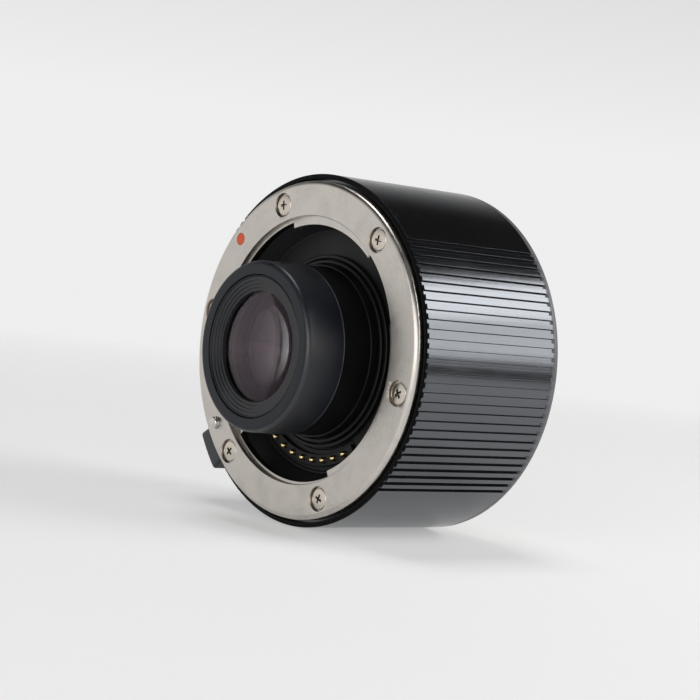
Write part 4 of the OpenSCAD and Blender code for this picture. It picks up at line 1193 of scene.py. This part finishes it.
def rear_inside():
    step = (COVER_R - COVER_IN_R) / 3
    half, bottom = 0.25, COVER_BACK - 0.5
    grooves = []
    for i in (2, 1, 0):
        r = COVER_IN_R + (i + 0.5) * step
        grooves += [(r + half, COVER_BACK, 0.06), (r + half, bottom), (r - half, bottom),
                    (r - half, COVER_BACK, 0.06)]
    cover = turned("rear_light_trap", rounded([
        (COVER_IN_R, CHASSIS_BACK),
        (COVER_R, CHASSIS_BACK),
        (COVER_R, COVER_BACK, 0.1),
        *grooves,
        (COVER_IN_R, COVER_BACK, 0.1),
    ]), CONTACT_CLOCK + 180, 180 - REAR_BLOCK_HALF - 0.5)
    show(cover, BLACK_PLASTIC, "black_plastic", "rear_cover")
    inner = NECK_R + 0.1
    baffle = turned("rear_window", rounded([
        (0, OPTICS_BACK),
        (inner, OPTICS_BACK),
        (inner, BAFFLE_FRONT),
        (BAFFLE_R, BAFFLE_FRONT),
        (BAFFLE_R, BAFFLE_BACK, 0.35),
        (0, BAFFLE_BACK),
    ]))
    middle = upright(0, 0, (OPTICS_BACK + BAFFLE_BACK) / 2)
    tools = [block("wide", (WINDOW_W, 4, WINDOW_H - 2 * WINDOW_CORNER), middle),
             block("high", (WINDOW_W - 2 * WINDOW_CORNER, 4, WINDOW_H), middle)]
    start, end = OPTICS_BACK - OVER, BAFFLE_BACK + OVER
    corner = [(0, start), (WINDOW_CORNER, start), (WINDOW_CORNER, end), (0, end)]
    across, rise = WINDOW_W / 2 - WINDOW_CORNER, WINDOW_H / 2 - WINDOW_CORNER
    places = [Matrix.Translation((x * across, FRONT, z * rise)) for x in (-1, 1) for z in (-1, 1)]
    carve(baffle, tools + [studs("corners", corner, places)])
    show(soften(baffle, 0.15), BLACK_PLASTIC, "black_plastic", "rear_baffle")


flange()
front_screws()
front_dot()
leaf_springs()
lock_pin()
release_button()
liner()
contacts()
nose()
stepped_ring()
optics()
cell_tube()
barrel()
rear_dot()
rear_mount()
rear_screws()
gasket()
rear_contacts()
rear_inside()

# Solids that show as they are
KEPT = {
    DIE_CAST: ("chassis", "release_carrier"),
    SPRING_STEEL: ("lock_pin_clip", "lock_pin_spring", "contact_springs"),
    BOARD: ("contact_board",),
    FILM: ("flex_cable",),
    DARK_SCREW: ("contact_block_screws", "lens_barrel_screws"),
    BLACK_METAL: ("spacer_1", "spacer_2", "spacer_3", "spacer_4", "rear_retaining_ring"),
}
for look, names in KEPT.items():
    for name in names:
        for place in frame["nodes"][name].material_slots:
            place.material = look

# Stage
FLOOR_Z = -BARREL_R * MM
WALL = 0.86
CEILING = 0.012
WALL_TOP, CEILING_EDGE = 0.06, 0.62
FLOOR_SIZE = 2.0
FLOOR_GLOW = 0.32
FLOOR_FADE = (0.1, 0.42)


def world():
    """Pale walls all round and a dark ceiling."""
    place = bpy.data.worlds.new("room")
    bpy.context.scene.world = place
    place.use_nodes = True
    nodes, links = place.node_tree.nodes, place.node_tree.links
    split = nodes.new("ShaderNodeSeparateXYZ")
    links.new(nodes.new("ShaderNodeTexCoord").outputs["Generated"], split.inputs[0])
    ramp = nodes.new("ShaderNodeValToRGB")
    low, high = ramp.color_ramp.elements
    low.position, low.color = WALL_TOP, (WALL, WALL, WALL, 1)
    high.position, high.color = CEILING_EDGE, (CEILING, CEILING, CEILING, 1)
    links.new(split.outputs[2], ramp.inputs["Fac"])
    links.new(ramp.outputs["Color"], nodes["Background"].inputs["Color"])


def floor():
    """A pale floor that keeps the shadow and fades into the walls."""
    bm = bmesh.new()
    bmesh.ops.create_circle(bm, cap_ends=True, segments=96, radius=FLOOR_SIZE)
    mesh = bpy.data.meshes.new("floor")
    bm.to_mesh(mesh)
    bm.free()
    plane = bpy.data.objects.new("floor", mesh)
    plane.location.z = FLOOR_Z
    bpy.context.scene.collection.objects.link(plane)
    look = Look("floor", (0.8, 0.8, 0.8), 0.8, Emission_Color=(1, 1, 1, 1))
    path = look.node("ShaderNodeLightPath")
    seen = look.math("MAXIMUM", path.outputs["Is Camera Ray"], path.outputs["Is Glossy Ray"])
    seen = look.math("MAXIMUM", seen, path.outputs["Is Transmission Ray"])
    look.links.new(look.math("MULTIPLY", seen, FLOOR_GLOW), look.shader.inputs["Emission Strength"])
    radius = look.node("ShaderNodeVectorMath", operation="LENGTH")
    look.links.new(look.place(), radius.inputs[0])
    fade = look.span(radius.outputs["Value"], 1, 0, *FLOOR_FADE)
    look.links.new(fade, look.shader.inputs["Alpha"])
    mesh.materials.append(look.material)


def softbox(name, towards, distance, width, height, level, aim=(0, FRONT * MM / 2, 0)):
    """An area light of an even brightness, seen in reflections but not by the camera."""
    lamp = bpy.data.lights.new(name, "AREA")
    lamp.shape = "RECTANGLE"
    lamp.size, lamp.size_y = width, height
    lamp.energy = level * math.pi * width * height
    box = bpy.data.objects.new(name, lamp)
    direction = Vector(towards).normalized()
    box.location = Vector(aim) + direction * distance
    box.rotation_euler = direction.to_track_quat("Z", "Y").to_euler()
    box.visible_camera = False
    bpy.context.scene.collection.objects.link(box)


def flag():
    """A low black card beside the part, seen in reflections only."""
    middle, along, tall = Vector((0.098, 0.066, -0.0075)), Vector((-0.66, 0.75, 0)), 0.0095
    half = along * 0.09
    mesh = bpy.data.meshes.new("flag")
    foot = [middle - half, middle + half]
    mesh.from_pydata(foot + [p + Vector((0, 0, tall)) for p in foot[::-1]], [], [(0, 1, 2, 3)])
    card = bpy.data.objects.new("flag", mesh)
    bpy.context.scene.collection.objects.link(card)
    mesh.materials.append(LIGHT_TRAP)
    card.visible_camera = card.visible_diffuse = card.visible_shadow = card.visible_transmission = False


def camera():
    """The photograph's view."""
    azimuth, elevation, roll = (math.radians(a) for a in (48.807, 3.093, 7.006))
    distance, across, rise, focal = 328.6, 7.948, -0.051, 103.315
    back = Vector((math.sin(azimuth) * math.cos(elevation), -math.cos(azimuth) * math.cos(elevation),
                   math.sin(elevation)))
    side = Vector((math.cos(azimuth), math.sin(azimuth), 0))
    right = side * math.cos(roll) + back.cross(side) * math.sin(roll)
    up = back.cross(right)
    lens = bpy.data.cameras.new("camera")
    lens.lens = focal
    lens.sensor_width = 36
    eye = bpy.data.objects.new("camera", lens)
    spot = (Vector((0, FRONT + 0.3, 0)) + right * across + up * rise + back * distance) * MM
    turn = Matrix((right, up, back)).transposed().to_4x4()
    eye.matrix_world = Matrix.Translation(spot) @ turn
    bpy.context.scene.collection.objects.link(eye)
    bpy.context.scene.camera = eye


world()
floor()
softbox("key", (0.54, 0.66, 0.53), 0.45, 0.26, 0.12, 5.5)
softbox("low_key", (0.7, 0.66, 0.26), 0.45, 0.26, 0.15, 2.8)
softbox("front", (0.54, -0.84, 0.22), 0.6, 0.8, 0.32, 1.7)
flag()
softbox("top", (-0.15, 0, 0.99), 0.8, 0.34, 0.34, 5.0)
camera()
bpy.context.scene.view_settings.view_transform = "Standard"
